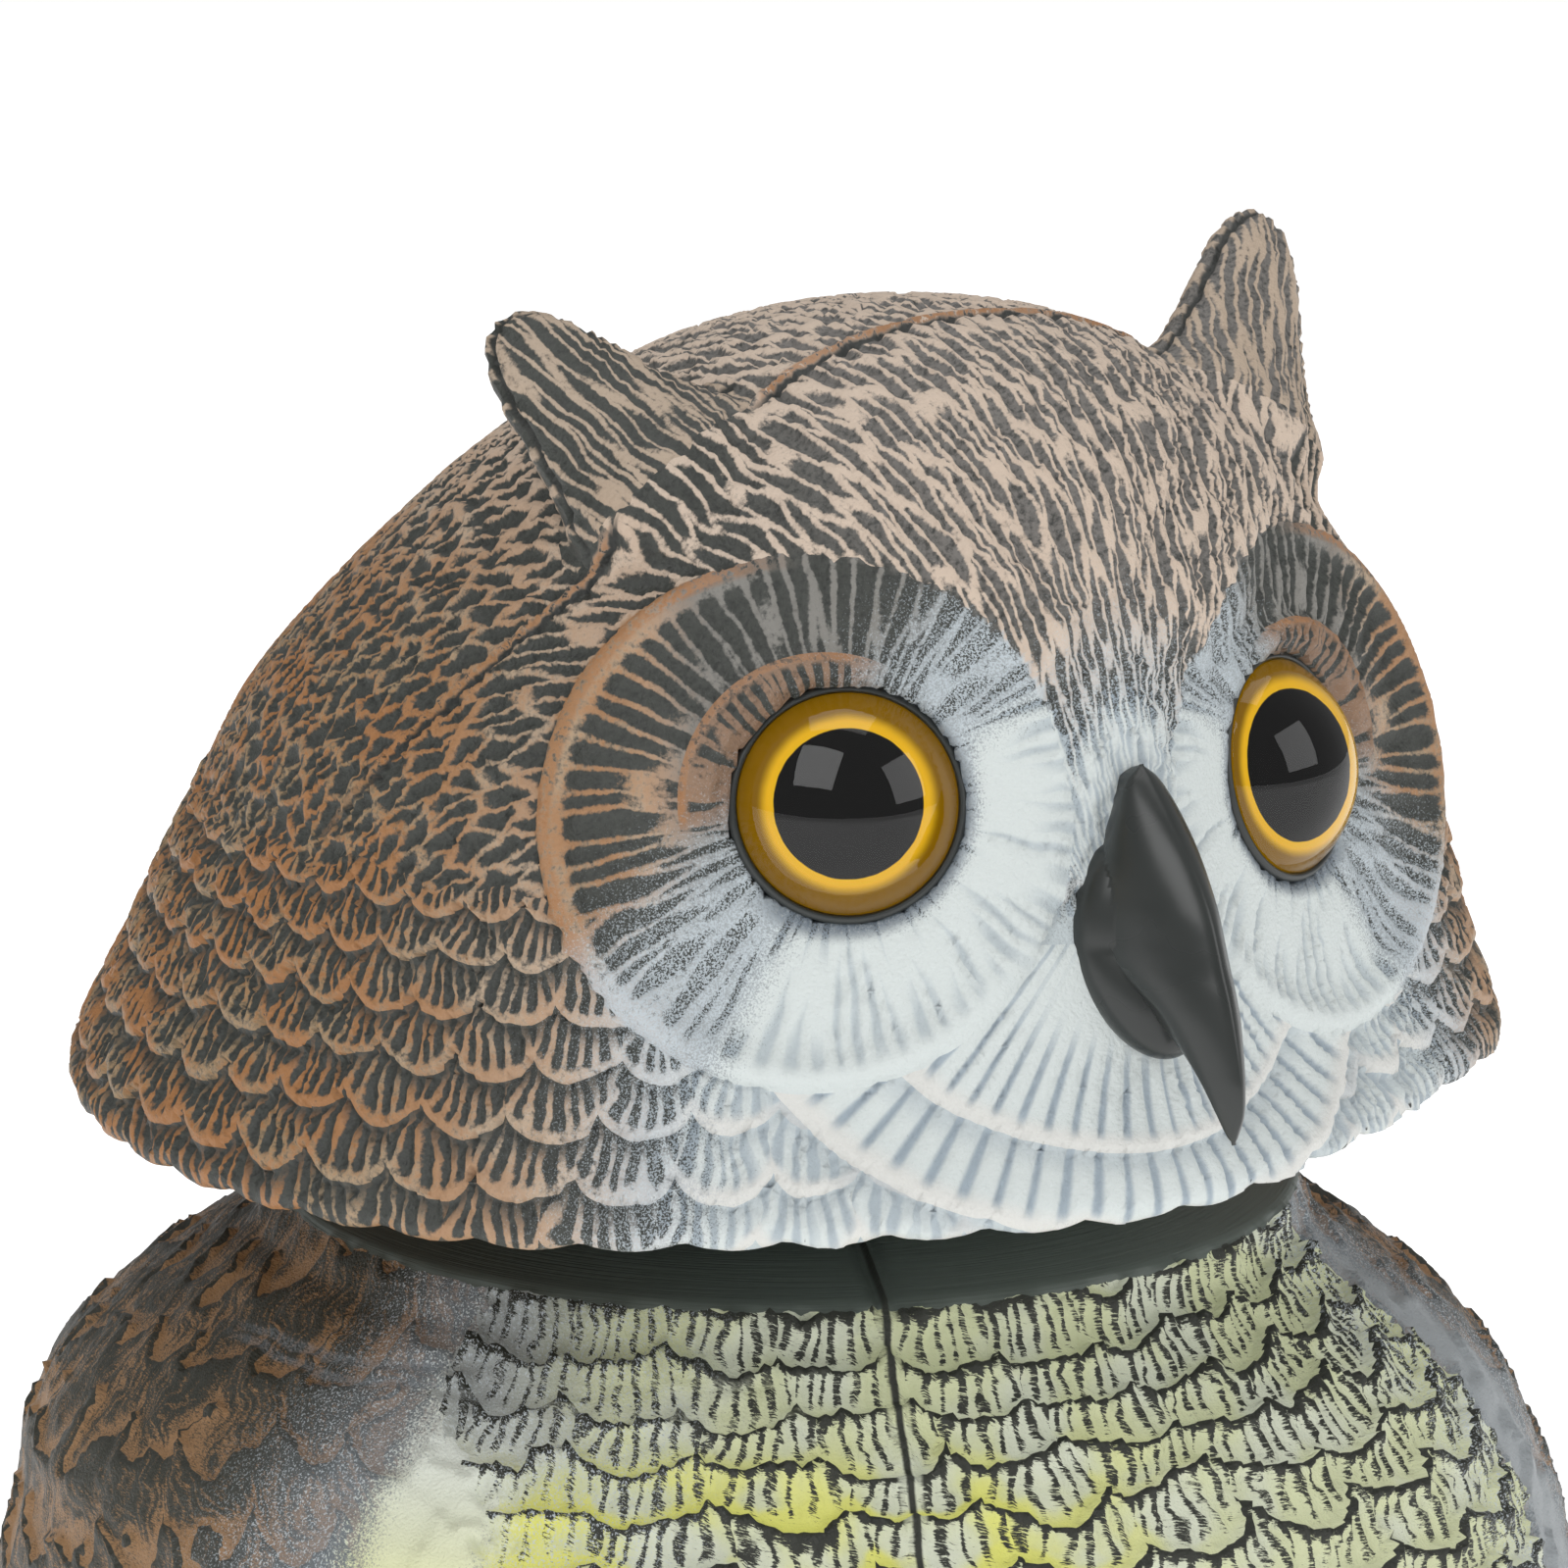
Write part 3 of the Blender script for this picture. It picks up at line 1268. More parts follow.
@dataclass
class Eye:
    """Clear dome over a painted amber ring and black pupil, in a low black cup."""

    side: Side
    head: HeadShape = field(default_factory=HeadShape)
    radius: float = 16.0
    dome_height: float = 9.0
    dome_steps: int = 22
    gap: float = 0.05
    cup_radius: float = 17.3
    cup_depth: float = 5.5
    cup_stand: float = 0.8
    iris_level: float = -1.4
    pupil_radius: float = 9.3

    def node(self) -> str:
        """CAD node of this eye, which its pieces are named for."""
        return f"eye_{self.side.name.lower()}"

    def spun(self, name: str, profile: list[tuple[float, float]], steps: int = 96) -> bpy.types.Object:
        """Piece turned from a profile about the eye's axis.

        Args:
            name: The piece's name.
            profile: Radius and height of each point, from axis to axis.
            steps: Steps round the axis.

        Returns:
            The piece, placed on the head.
        """
        shell = bmesh.new()
        verts = [shell.verts.new((r, 0, h)) for r, h in profile]
        edges = [shell.edges.new(pair) for pair in zip(verts, verts[1:])]
        bmesh.ops.spin(
            shell, geom=verts + edges, cent=(0, 0, 0), axis=(0, 0, 1), angle=math.tau,
            steps=steps, use_merge=True, use_duplicate=False,
        )
        bmesh.ops.remove_doubles(shell, verts=shell.verts, dist=1e-4)
        piece = linked(name, to_mesh(name, shell))
        normal, level, upward = self.head.axes(self.side)
        co = coordinates(piece.data)
        store(piece.data, "local", co)
        co = self.head.eye_base(self.side) + co @ np.array([level, upward, normal])
        set_coordinates(piece.data, turned(co) * MM)
        return piece

    def dome_profile(self) -> list[tuple[float, float]]:
        """Profile of the clear dome from its floor to its top."""
        sphere = (self.radius**2 + self.dome_height**2) / (2 * self.dome_height)
        widest = self.radius - self.gap
        points = [(0.0, self.iris_level), (widest, self.iris_level)]
        for i in range(self.dome_steps):
            r = widest * math.cos(i / self.dome_steps * math.pi / 2)
            rise = math.sqrt(sphere**2 - r**2) - (sphere - self.dome_height)
            points.append((r, self.cup_stand + rise))
        return [*points, (0.0, self.cup_stand + self.dome_height)]

    def cup_profile(self) -> list[tuple[float, float]]:
        """Profile of the black cup, whose low rim slopes in to the dome."""
        inner, outer = self.radius + self.gap, self.cup_radius
        bottom, rim, floor = -self.cup_depth, self.cup_stand, self.iris_level - 0.7
        return [
            (0, bottom), (outer - 0.4, bottom), (outer, bottom + 0.4), (outer, rim - 0.8),
            (outer - 0.2, rim - 0.3), (outer - 0.7, rim + 0.1), (inner + 0.2, rim),
            (inner, rim - 0.4), (inner, floor), (0, floor),
        ]

    def iris_profile(self) -> list[tuple[float, float]]:
        """Profile of the painted back, a thin plate whose face lies just inside the dome."""
        under, face, edge = self.iris_level - 0.6, self.iris_level + 0.4, self.radius - 0.1
        inward = [self.pupil_radius + 3, self.pupil_radius, self.pupil_radius - 3, 0]
        return [(0, under), (edge, under), (edge, face), *[(r, face) for r in inward]]

    def build(self) -> list[bpy.types.Object]:
        """Builds the cup, the painted back and the dome.

        Returns:
            The three pieces.
        """
        parts = (
            ("cup", self.cup_profile(), BlackPlastic("eye_cup", 0.35)),
            ("iris", self.iris_profile(), Iris(self.pupil_radius)),
            ("dome", self.dome_profile(), ClearDome()),
        )
        pieces = []
        for part, profile, finish in parts:
            piece = self.spun(f"{self.node()}_{part}", profile)
            piece.data.materials.append(finish.material())
            finish_piece(piece, Body.SKULL, self.node())
            pieces.append(piece)
        return pieces


@dataclass(frozen=True)
class ClearDome:
    """Clear plastic of the eye domes."""

    def material(self) -> bpy.types.Material:
        """Builds the material."""
        material, _, surface = new_material("clear_dome", 0.0)
        surface.inputs["Base Color"].default_value = (1, 1, 1, 1)
        surface.inputs["Transmission Weight"].default_value = 1.0
        surface.inputs["IOR"].default_value = 1.45
        surface.inputs["Specular IOR Level"].default_value = 0.35
        return material


@dataclass(frozen=True)
class Iris:
    """Amber ring, brighter toward the black pupil, painted on the back of the dome."""

    pupil_radius: float
    amber: tuple[float, ...] = (0.195, 0.098, 0.0, 1)
    gold: tuple[float, ...] = (0.68, 0.385, 0.01, 1)
    glow: float = 0.5
    black: tuple[float, ...] = (0.002, 0.002, 0.002, 1)

    def material(self) -> bpy.types.Material:
        """Builds the material."""
        material, g, surface = new_material("iris", 0.6)
        surface.inputs["Specular IOR Level"].default_value = 0.0
        x, y, _ = g.split(g.attribute("local"))
        r = g.add(g.length(x, y), g.affine(g.noise(g.attribute("local"), 0.5), 0.25, -0.12))
        bright = g.step(r, self.pupil_radius + 2.6, self.pupil_radius + 0.7)
        colour = g.tint(bright, self.amber, self.gold)
        edge = g.step(r, self.pupil_radius - 0.06, self.pupil_radius + 0.06)
        colour = g.tint(edge, self.black, colour)
        g.feed(surface.inputs["Base Color"], colour)
        g.feed(surface.inputs["Emission Color"], colour)
        surface.inputs["Emission Strength"].default_value = self.glow
        return material


@dataclass(frozen=True)
class BlackPlastic:
    """Moulded black plastic with a fine unevenness."""

    name: str
    roughness: float
    colour: tuple[float, ...] = (0.016, 0.019, 0.018, 1)
    dusty: tuple[float, ...] = (0.034, 0.038, 0.036, 1)

    def material(self) -> bpy.types.Material:
        """Builds the material."""
        material, g, surface = new_material(self.name, self.roughness)
        place = g.node("ShaderNodeTexCoord").outputs["Object"]
        cloud = g.noise(place, 55.0, 3.0)
        g.feed(surface.inputs["Base Color"], g.tint(cloud, self.colour, self.dusty))
        g.feed(surface.inputs["Roughness"], g.affine(cloud, 0.16, self.roughness - 0.06))
        g.bump(surface, g.mul(g.noise(place, 160.0, 2.0), 0.0004), 0.12)
        return material


# Beak


@dataclass
class Beak:
    """Hooked upper half over a rounded lower bill."""

    heights: tuple[float, ...] = (
        66.6, 64.5, 60, 54.5, 48, 43, 40, 37, 33.5, 30, 27, 24, 20, 17, 15.6,
    )
    ridge: tuple[float, ...] = (
        98.2, 101, 106, 111.2, 115.9, 118.2, 119.4, 120.8, 122.1, 123.2, 124, 124.6, 124.6,
        123.4, 122.8,
    )
    edges: tuple[float, ...] = (
        98.2, 98.5, 99.6, 99.6, 98.2, 97.6, 99.5, 106, 112, 115, 117, 119, 121.2, 122.4, 122.8,
    )
    half_widths: tuple[float, ...] = (
        0, 2.6, 4.8, 6.6, 8, 8.6, 8.4, 7, 5.6, 4.6, 3.8, 3, 2, 1, 0,
    )
    back: tuple[float, ...] = (
        98.2, 93, 92, 91, 90, 90, 90, 92, 99, 106, 112.5, 116.5, 119.8, 121.9, 122.8,
    )
    keel: float = 1.25
    least_half_width: float = 0.4
    back_swell: float = 0.25
    rows: int = 90
    columns: int = 96
    bill_centre: tuple[float, float, float] = (0, -97.2, 41.0)
    bill_radii: tuple[float, float, float] = (10.8, 9.0, 16.5)
    bill_lean: float = 0.5
    sharp_deg: float = 38.0

    def upper(self) -> bmesh.types.BMesh:
        """Closed shell of the hooked half.

        Returns:
            The shell, in the head frame.
        """
        rows = self.rows
        shell, row, angle = ring_shell(rows, self.columns)
        falls = [self.heights[0] - z for z in self.heights]
        fall = falls[-1] * (0.5 - 0.5 * np.cos(math.pi * row / rows))
        ridge = curve_at(falls, self.ridge, fall)
        edge = curve_at(falls, self.edges, fall)
        back = curve_at(falls, self.back, fall)
        inner = (row > 0) & (row < rows)
        width = curve_at(falls, self.half_widths, fall)
        width = np.maximum(width, self.least_half_width) * inner
        forward, sideways = np.cos(angle), np.sin(angle)
        front = forward > 0
        fore = (ridge - edge) * np.maximum(forward, 0) ** self.keel
        reach = np.where(front, fore, (edge - back) * forward)
        flat = np.sign(sideways) * np.abs(sideways) ** self.keel
        x = width * np.where(front, flat, sideways * (1 + self.back_swell * forward))
        y = -np.where(inner, edge + reach, ridge)
        set_places(shell, np.stack([x, y, self.heights[0] - fall], axis=1))
        return shell

    def bill(self) -> bmesh.types.BMesh:
        """Closed shell of the rounded lower half, which leans forward below its middle."""
        shell = bmesh.new()
        bmesh.ops.create_uvsphere(shell, u_segments=80, v_segments=56, radius=1)
        co = np.array([v.co for v in shell.verts])
        places = co * self.bill_radii + self.bill_centre
        places[:, 1] -= self.bill_lean * np.maximum(self.bill_centre[2] - places[:, 2], 0)
        set_places(shell, places)
        return shell

    def build(self) -> bpy.types.Object:
        """Joins the two halves and finishes the beak.

        Returns:
            The finished piece.
        """
        piece = linked("beak_horn", to_mesh("beak_horn", self.upper()))
        bill = linked("bill", to_mesh("bill", self.bill()))
        union = piece.modifiers.new("join", "BOOLEAN")
        union.operation = "UNION"
        union.solver = "EXACT"
        union.object = bill
        applied(piece)
        bpy.data.objects.remove(bill)
        set_coordinates(piece.data, turned(coordinates(piece.data)) * MM)
        piece.data.materials.clear()
        piece.data.materials.append(BlackPlastic("beak_gloss", 0.26).material())
        finish_piece(piece, Body.SKULL, "beak")
        piece.data.set_sharp_from_angle(angle=math.radians(self.sharp_deg))
        return piece


# Body


@dataclass
class BodyShell:
    """Painted body shell: neck boss and plate, shoulders and the upper chest."""

    outline: tuple[tuple[float, float], ...] = (
        (55, 9), (57, -10.8), (68, -12.8), (80, -15.5), (82, -17.5), (84.5, -22), (93, -28.5),
        (102.5, -34.5), (110.5, -41), (116, -47.5), (119.5, -54), (122, -62), (125.2, -72),
        (127.5, -82), (128.5, -90),
    )
    depth_ratio: float = 0.95
    shift_drops: tuple[float, ...] = (0, 15, 25, 50, 65, 90)
    shifts: tuple[float, ...] = (0, 0, -1.8, -2.6, -0.8, 0)
    oval_from: float = 17.0
    oval_to: float = 45.0
    step: float = 1.15
    columns: int = 540
    cloud_scales: tuple[float, float, float] = (0.07, 0.3, 0.06)

    def lengths(self) -> Array:
        """Length along the outline at each of its points."""
        return np.concatenate([[0], np.cumsum(np.hypot(*np.diff(self.outline, axis=0).T))])

    def shell(self) -> bmesh.types.BMesh:
        """Closed shell of the body, from the top of the neck boss to the flat cut.

        Returns:
            The shell, in the part's frame.
        """
        outline, lengths = np.array(self.outline), self.lengths()
        boss, end = lengths[1], lengths[-1]
        rings = [0.0, boss / 2, *np.linspace(boss, end, int((end - boss) / self.step))]
        rows = len(rings) + 1
        shell, row, azimuth = ring_shell(rows, self.columns)
        along = np.array([0.0, *rings, 0.0])[row]
        radius = np.interp(along, lengths, outline[:, 0])
        drop = np.interp(along, lengths, outline[:, 1])
        oval = smoothstep(self.oval_from, self.oval_to, -drop)
        depth = radius * (1 + (self.depth_ratio - 1) * oval)
        x = radius * np.sin(azimuth) + curve_at(self.shift_drops, self.shifts, -drop)
        places = np.stack([x, -depth * np.cos(azimuth), HEM_LEVEL + drop], axis=1)
        top, bottom = np.array([0, 0, HEM_LEVEL + outline[0, 1]]), np.zeros(3)
        places = np.where((row == 0)[:, None], top, places)
        places = np.where((row == rows)[:, None], bottom, places)
        set_places(shell, places)
        return shell

    def build(self) -> bpy.types.Object:
        """Builds, carves and paints the body shell.

        Returns:
            The finished piece.
        """
        piece = linked("body_shell", to_mesh("body_shell", self.shell()))
        points = coordinates(piece.data)
        store(piece.data, "place", points)
        drops = -np.array(self.outline)[:, 1]
        down = np.interp(HEM_LEVEL - points[:, 2], drops, self.lengths())
        store(piece.data, "flow", np.stack([down, np.zeros_like(down), np.zeros_like(down)], axis=1))
        Clouds(self.cloud_scales).keep(piece)
        carve(piece, BodyFeathers())
        co = coordinates(piece.data)
        flat = points[:, 2] < 0.01
        co[flat] = points[flat]
        set_coordinates(piece.data, co * MM)
        piece.data.materials.append(BodyPaint().material())
        finish_piece(piece, Body.TRUNK, "body")
        return piece


@dataclass(frozen=True)
class BodyFeathers:
    """Relief of the body: smooth neck plate, chest scales, and ragged feathers on the wings."""

    chest_left_deg: float = -34.0
    chest_right_deg: float = 64.0
    plate_height: float = 74.0
    chest_columns: float = 5.3
    chest_pitch: float = 9.8
    wing_width: float = 16.0
    wing_pitch: float = 19.0
    crests: tuple[tuple[float, float], ...] = ((55.0, 6.0), (62.0, 2.0))
    crest_height: float = 1.2
    line_depth: float = 0.9

    def chest(
        self, g: Graph, azimuth: Socket, down: Socket, sway: Socket, fine: Socket
    ) -> dict[str, Socket]:
        """Scale feathers of the chest.

        Args:
            g: Where the nodes go.
            azimuth: Angle round the body, in radians.
            down: Length along the outline.
            sway: Broad unevenness, from -1 to 1.
            fine: Fine unevenness, from 0 to 1.

        Returns:
            Coordinates within the feathers, with u and v for their strokes.
        """
        chest_x = g.add(g.mul(azimuth, self.chest_columns), g.mul(sway, 0.2))

        def across(row: Socket) -> Socket:
            """Position along one row."""
            return g.add(chest_x, g.mul(row, 0.31))

        lower = g.add(g.mul(down, 1 / self.chest_pitch), g.mul(sway, 0.7))
        scale = Scales(0.6).build(g, across, lower)
        u = g.math("DIVIDE", scale["x"], g.sub(1.1, g.mul(scale["d"], 0.2)))
        u = g.add(g.mul(u, 6.6), g.add(g.mul(fine, 1.2), g.mul(scale["row"], 3.5)))
        u = g.add(u, g.mul(scale["column"], 6.0))
        v = g.add(g.mul(scale["row"], 4.0), g.mul(scale["column"], 3.0))
        v = g.add(v, g.affine(scale["d"], 0.15, 0.1))
        return {**scale, "u": u, "v": v}

    def wing(
        self, g: Graph, azimuth: Socket, down: Socket, sway: Socket, fine: Socket
    ) -> dict[str, Socket]:
        """Large loose feathers of the wings, alike on both sides.

        Args:
            g: Where the nodes go.
            azimuth: Angle round the body, in radians.
            down: Length along the outline.
            sway: Broad unevenness, from -1 to 1.
            fine: Fine unevenness, from 0 to 1.

        Returns:
            Coordinates within the feathers, with u and v for their strokes.
        """
        side = g.math("ABSOLUTE", azimuth)
        wing_x = g.mul(g.add(g.mul(side, 100.0), g.mul(down, 0.5)), 1 / self.wing_width)
        wing_x = g.add(wing_x, g.mul(sway, 0.8))

        def across(row: Socket) -> Socket:
            """Position along one row."""
            return g.add(wing_x, g.mul(row, 0.23))

        lower = g.mul(g.sub(down, g.mul(side, 30.0)), 1 / self.wing_pitch)
        scale = Scales(0.85).build(g, across, g.add(lower, g.mul(sway, 0.9)))
        u = g.add(g.mul(scale["x"], 7.5), g.add(g.mul(scale["column"], 6.1), g.mul(fine, 1.2)))
        v = g.add(g.affine(scale["d"], 0.4, 0.1), g.mul(scale["row"], 5.0))
        return {**scale, "u": u, "v": v}

    def crest(self, g: Graph, azimuth: Socket, down: Socket, sway: Socket) -> Socket:
        """Share of two thin folds across the shoulder on the owl's right."""
        crest: Socket | float = 0.0
        for level, drift in self.crests:
            off = g.add(g.affine(azimuth, drift, -level), g.add(down, g.mul(sway, 3.0)))
            crest = g.math("MAXIMUM", g.step(g.math("ABSOLUTE", off), 1.3, 0.3), crest)
        reach = g.step(g.math("ABSOLUTE", g.affine(azimuth, 1.0, 0.70)), 0.62, 0.45)
        return g.mul(crest, reach)

    def build(self, g: Graph) -> Strokes:
        """Adds the nodes of the relief.

        Args:
            g: Where the nodes go.

        Returns:
            Height in millimetres and the masks that the paint follows.
        """
        place = g.attribute("place")
        x, y, z = g.split(place)
        down, _, _ = g.split(g.attribute("flow"))
        azimuth = g.math("ARCTAN2", x, g.mul(y, -1.0))
        warp, fine, patch = g.split(g.attribute("clouds"))
        sway = g.affine(warp, 2.0, -1.0)
        ragged = g.affine(fine, 0.16, -0.08)
        above_plate = g.affine(z, 1.0, -self.plate_height)
        on_plate = g.math("GREATER_THAN", above_plate, g.affine(fine, 2.0, -1.6))
        edge = g.add(azimuth, g.add(ragged, g.mul(g.step(down, 84.0, 62.0), 0.17)))
        on_chest = g.mul(
            g.math("GREATER_THAN", edge, math.radians(self.chest_left_deg)),
            g.math("LESS_THAN", g.add(azimuth, ragged), math.radians(self.chest_right_deg)),
        )

        chest = self.chest(g, azimuth, down, sway, fine)
        wing = self.wing(g, azimuth, down, sway, fine)
        u, v, d, e = (g.pick(on_chest, wing[key], chest[key]) for key in ("u", "v", "d", "e"))
        border = g.edges(g.join(u, v), g.pick(on_chest, 0.8, 0.4))
        groove = g.step(border, g.pick(on_chest, 0.04, 0.16), g.pick(on_chest, 0.36, 0.40))
        ridge = g.sub(1.0, g.mul(groove, g.step(d, 0.05, 0.28)))
        crisp = g.pick(on_chest, 0.2, 0.6)
        lift = g.sub(g.step(d, 1.4, 0.1), g.mul(g.step(d, 0.14, 0.0), crisp))
        lift = g.sub(lift, g.mul(g.step(e, 0.4, 0.0), crisp))
        calm = g.mul(g.step(g.math("ABSOLUTE", g.affine(azimuth, 9.0, 5.7)), 1.3, 0.6), 0.7)
        coarse = g.mul(g.pick(on_chest, 0.3, 0.95), g.pick(on_chest, g.sub(1.0, calm), 1.0))
        height = g.add(g.mul(g.sub(ridge, 0.5), coarse), g.mul(lift, g.pick(on_chest, 1.0, 1.5)))
        crest = self.crest(g, azimuth, down, sway)
        height = g.pick(crest, height, self.crest_height)
        height = g.mul(height, g.sub(1.0, on_plate))

        seam, front = g.math("ABSOLUTE", x), g.math("LESS_THAN", y, 0.0)
        line = g.mul(g.step(seam, 0.8, 0.3), front)
        beside = g.mul(g.mul(g.step(seam, 2.0, 1.4), front), g.sub(1.0, line))
        height = g.pick(g.mul(beside, 0.6), height, 0.8)
        height = g.sub(height, g.mul(line, self.line_depth))
        return Strokes(
            place=place,
            height=g.mul(height, g.step(z, 0.0, 3.0)),
            ridge=ridge,
            recess=g.step(e, 0.26, 0.02),
            lip=g.step(d, 0.42, 0.12),
            extra={
                "plate": on_plate, "chest": on_chest, "azimuth": azimuth, "line": line,
                "beside": beside, "down": down, "r": g.length(x, y), "patch": patch,
                "warp": warp, "crest": crest,
            },
        )


@dataclass(frozen=True)
class BodyPaint:
    """Pale yellow dry-brushed over black on the chest, brown over charcoal on the wings."""

    black: tuple[float, ...] = (0.021, 0.023, 0.016, 1)
    charcoal: tuple[float, ...] = (0.095, 0.114, 0.10, 1)
    pale: tuple[float, ...] = (0.64, 0.67, 0.42, 1)
    yellow: tuple[float, ...] = (0.76, 0.76, 0.18, 1)
    grey: tuple[float, ...] = (0.66, 0.69, 0.55, 1)
    white: tuple[float, ...] = (0.74, 0.78, 0.72, 1)
    brown: tuple[float, ...] = (0.31, 0.175, 0.08, 1)
    slate: tuple[float, ...] = (0.034, 0.035, 0.026, 1)
    mist: tuple[float, ...] = (0.33, 0.355, 0.37, 1)
    haze: tuple[float, ...] = (0.27, 0.31, 0.345, 1)
    frost: tuple[float, ...] = (0.58, 0.64, 0.68, 1)
    right_spray: tuple[float, float] = (-38.0, 7.5)
    left_spray: tuple[float, float] = (68.0, 5.5)

    def light(self, g: Graph, s: Strokes, degrees: Socket) -> Socket:
        """Light paint of the chest, yellow in patches and misty toward the owl's right shoulder.

        Args:
            g: Where the nodes go.
            s: Relief of the body.
            degrees: Angle round the body.

        Returns:
            The colour.
        """
        patch, down = s.extra["patch"], s.extra["down"]
        sunny = g.add(patch, g.mul(s.lip, 0.14))
        sunny = g.mul(g.step(sunny, 0.50, 0.64), g.step(down, 60.0, 84.0))
        sunny = g.mul(sunny, g.step(degrees, 30.0, 5.0))
        light = g.tint(g.step(patch, 0.40, 0.56), self.grey, self.pale)
        light = g.tint(sunny, light, self.yellow)
        shaded = g.mul(g.step(degrees, -24.0, -40.0), g.step(down, 86.0, 66.0))
        return g.tint(g.mul(shaded, 0.85), light, self.mist)

    def wing(self, g: Graph, s: Strokes, brush: Socket) -> Socket:
        """Colour of the wings: brown brushed over slate."""
        ridge = g.add(g.mul(s.ridge, 0.5), g.affine(brush, 3.4, -1.7))
        ridge = g.add(ridge, g.affine(s.extra["patch"], 1.8, -0.95))
        ridge = g.add(ridge, g.mul(g.sub(s.lip, g.mul(s.recess, 1.3)), 0.4))
        return g.tint(g.step(ridge, 0.10, 0.95), self.slate, self.brown)

    def material(self) -> bpy.types.Material:
        """Builds the paint.

        Returns:
            The material.
        """
        material, g, surface = new_material("body_paint", 0.5)
        s = BodyFeathers().build(g)
        x, y, z = g.split(s.place)
        streaks = g.join(g.affine(z, 1.1, 0.0), y, g.add(g.mul(z, 3.4), x))
        brush = g.noise(streaks, 1.5, 3.0, 0.7)
        speck = g.noise(s.place, 2.8, 2.0, 0.7)
        down, on_chest = s.extra["down"], s.extra["chest"]
        outside = g.sub(1.0, on_chest)
        degrees = g.mul(s.extra["azimuth"], 180 / math.pi)

        dry = g.add(s.ridge, g.affine(brush, 3.8, -1.9))
        dry = g.add(dry, g.affine(s.extra["patch"], 0.8, -0.4))
        on_ridge = g.sub(dry, g.mul(s.recess, 1.5))
        fading = g.mul(g.step(degrees, -23.0, -36.0), g.step(down, 62.0, 84.0))
        cover = g.step(g.add(on_ridge, g.mul(fading, 0.5)), 0.12, 0.46)
        light = self.light(g, s, degrees)

        off = [
            g.math("ABSOLUTE", g.mul(g.affine(degrees, 1.0, -middle), 1 / width))
            for middle, width in (self.right_spray, self.left_spray)
        ]
        off_spray = g.math("MINIMUM", *off)
        near = g.mul(g.sub(1.0, off_spray), g.step(down, 40.0, 84.0))
        uneven = g.add(g.mul(s.extra["warp"], 0.5), g.affine(speck, 1.2, -0.85))
        sprayed = g.step(g.add(near, uneven), 0.04, 0.48)
        wide = g.sub(1.5, g.mul(off_spray, 0.45))
        dots = g.mul(g.step(speck, 0.555, 0.61), g.step(wide, 0.0, 0.8))
        sunlit = g.mul(g.step(down, 70.0, 115.0), g.mul(g.step(degrees, 20.0, 0.0), 0.8))
        bright = g.tint(g.step(degrees, 20.0, 60.0), self.white, self.mist)
        bright = g.tint(sunlit, bright, self.yellow)
        misty = g.mul(g.step(off_spray, 2.8, 0.4), 0.62)

        chest = g.tint(cover, self.black, light)
        colour = g.tint(on_chest, self.wing(g, s, brush), chest)
        colour = g.tint(g.mul(misty, outside), colour, self.haze)
        colour = g.tint(g.mul(dots, 0.8), colour, self.frost)
        on_crest = g.mul(g.mul(s.extra["crest"], 0.5), g.step(brush, 0.36, 0.6))
        colour = g.tint(on_crest, colour, g.tint(on_chest, self.haze, light))
        edges = g.mul(g.mul(s.extra["beside"], 0.8), g.step(brush, 0.3, 0.5))
        colour = g.tint(edges, colour, light)
        over = g.math("MAXIMUM", outside, g.mul(g.mul(cover, fading), 0.9))
        colour = g.tint(g.mul(sprayed, over), colour, bright)
        colour = g.tint(s.extra["plate"], colour, self.charcoal)
        colour = g.tint(s.extra["line"], colour, self.black)
        g.feed(surface.inputs["Base Color"], colour)

        scratches = g.noise(g.join(s.extra["r"], g.mul(s.extra["azimuth"], 2.0)), 1.6, 3.0)
        fine = g.pick(s.extra["plate"], g.noise(s.place, 2.0, 2.0), scratches)
        g.bump(surface, g.mul(fine, GRAIN_HEIGHT), 0.8)
        return material


# Studio


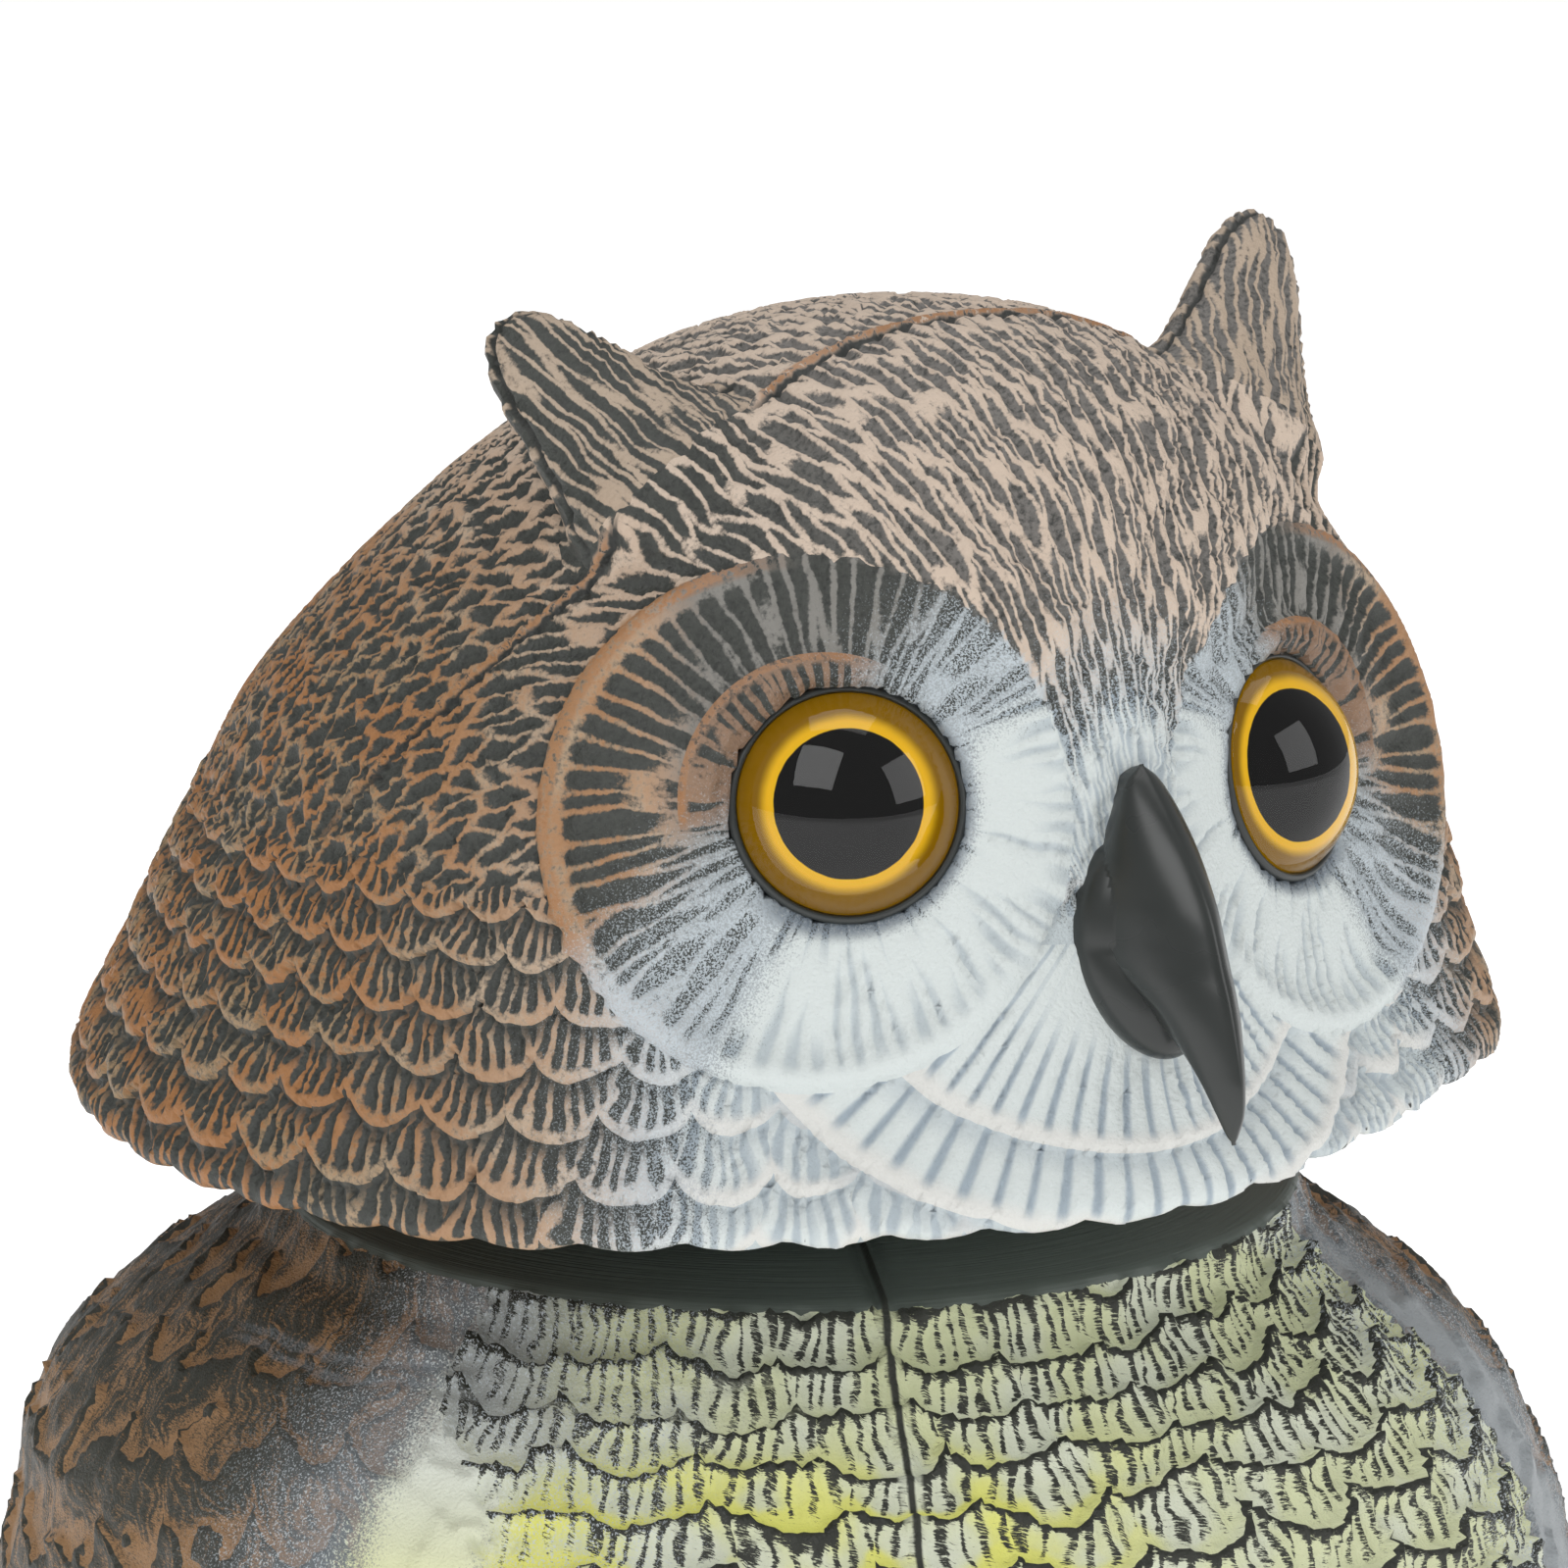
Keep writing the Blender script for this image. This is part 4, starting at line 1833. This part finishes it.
@dataclass
class Studio:
    """Pale floor, soft light and the camera at the photograph's angle."""

    camera_azimuth_deg: float = -10.0
    camera_elevation_deg: float = 12.5
    camera_distance: float = 1.05
    target: tuple[float, float, float] = (-0.000837, 0.000148, 0.135)
    lens: float = 153.7
    floor_radius: float = 8.0
    floor_greys: tuple[float, float] = (0.90, 0.93)
    floor_glow: float = 0.62
    sky_strength: float = 0.36
    lit_point: tuple[float, float, float] = (0, 0, 0.13)
    lights: tuple[tuple[str, tuple[float, float, float], float, float], ...] = (
        ("key", (-0.9, -1.2, 1.5), 1.3, 14),
        ("fill", (1.4, -1.0, 0.9), 1.1, 7),
        ("top", (0.1, 0.3, 1.9), 1.4, 8),
    )

    def floor(self) -> None:
        """Wide round floor that glows a little, so that it comes out white."""
        shell = bmesh.new()
        bmesh.ops.create_circle(shell, cap_ends=True, radius=self.floor_radius, segments=96)
        piece = linked("floor", to_mesh("floor", shell))
        material, g, surface = new_material("floor", 0.9)
        cloud = g.noise(g.node("ShaderNodeTexCoord").outputs["Object"], 0.8, 2.0)
        low, high = ((grey, grey, grey, 1) for grey in self.floor_greys)
        g.feed(surface.inputs["Base Color"], g.tint(cloud, low, high))
        surface.inputs["Emission Color"].default_value = (1, 1, 1, 1)
        surface.inputs["Emission Strength"].default_value = self.floor_glow
        piece.data.materials.append(material)

    def light(self, name: str, place: Vector, size: float, power: float) -> None:
        """Square soft light aimed at the bust."""
        lamp = bpy.data.lights.new(name, "AREA")
        lamp.energy = power
        lamp.size = size
        holder = bpy.data.objects.new(name, lamp)
        holder.location = place
        holder.rotation_mode = "QUATERNION"
        holder.rotation_quaternion = (Vector(self.lit_point) - place).to_track_quat("-Z", "Y")
        bpy.context.scene.collection.objects.link(holder)

    def camera(self) -> None:
        """Camera that sees what the photograph shows."""
        a, e = math.radians(self.camera_azimuth_deg), math.radians(self.camera_elevation_deg)
        back = Vector((math.sin(a) * math.cos(e), -math.cos(a) * math.cos(e), math.sin(e)))
        data = bpy.data.cameras.new("camera")
        data.lens = self.lens
        data.sensor_width = 36.0
        data.clip_start = 0.05
        holder = bpy.data.objects.new("camera", data)
        holder.location = Vector(self.target) + back * self.camera_distance
        holder.rotation_mode = "QUATERNION"
        holder.rotation_quaternion = (-back).to_track_quat("-Z", "Y")
        bpy.context.scene.collection.objects.link(holder)
        bpy.context.scene.camera = holder

    def build(self) -> None:
        """Builds the studio."""
        scene = bpy.context.scene
        scene.view_settings.view_transform = "Standard"
        world = bpy.data.worlds.new("studio")
        world.use_nodes = True
        sky = world.node_tree.nodes["Background"]
        sky.inputs["Color"].default_value = (1, 1, 1, 1)
        sky.inputs["Strength"].default_value = self.sky_strength
        scene.world = world
        self.floor()
        for name, place, size, power in self.lights:
            self.light(name, Vector(place), size, power)
        self.camera()


def main() -> None:
    """Builds the bust and its studio."""
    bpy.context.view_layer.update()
    HeadShell().build()
    for side in Side:
        Eye(side).build()
    Beak().build()
    BodyShell().build()
    Studio().build()


if __name__ == "__main__":
    main()
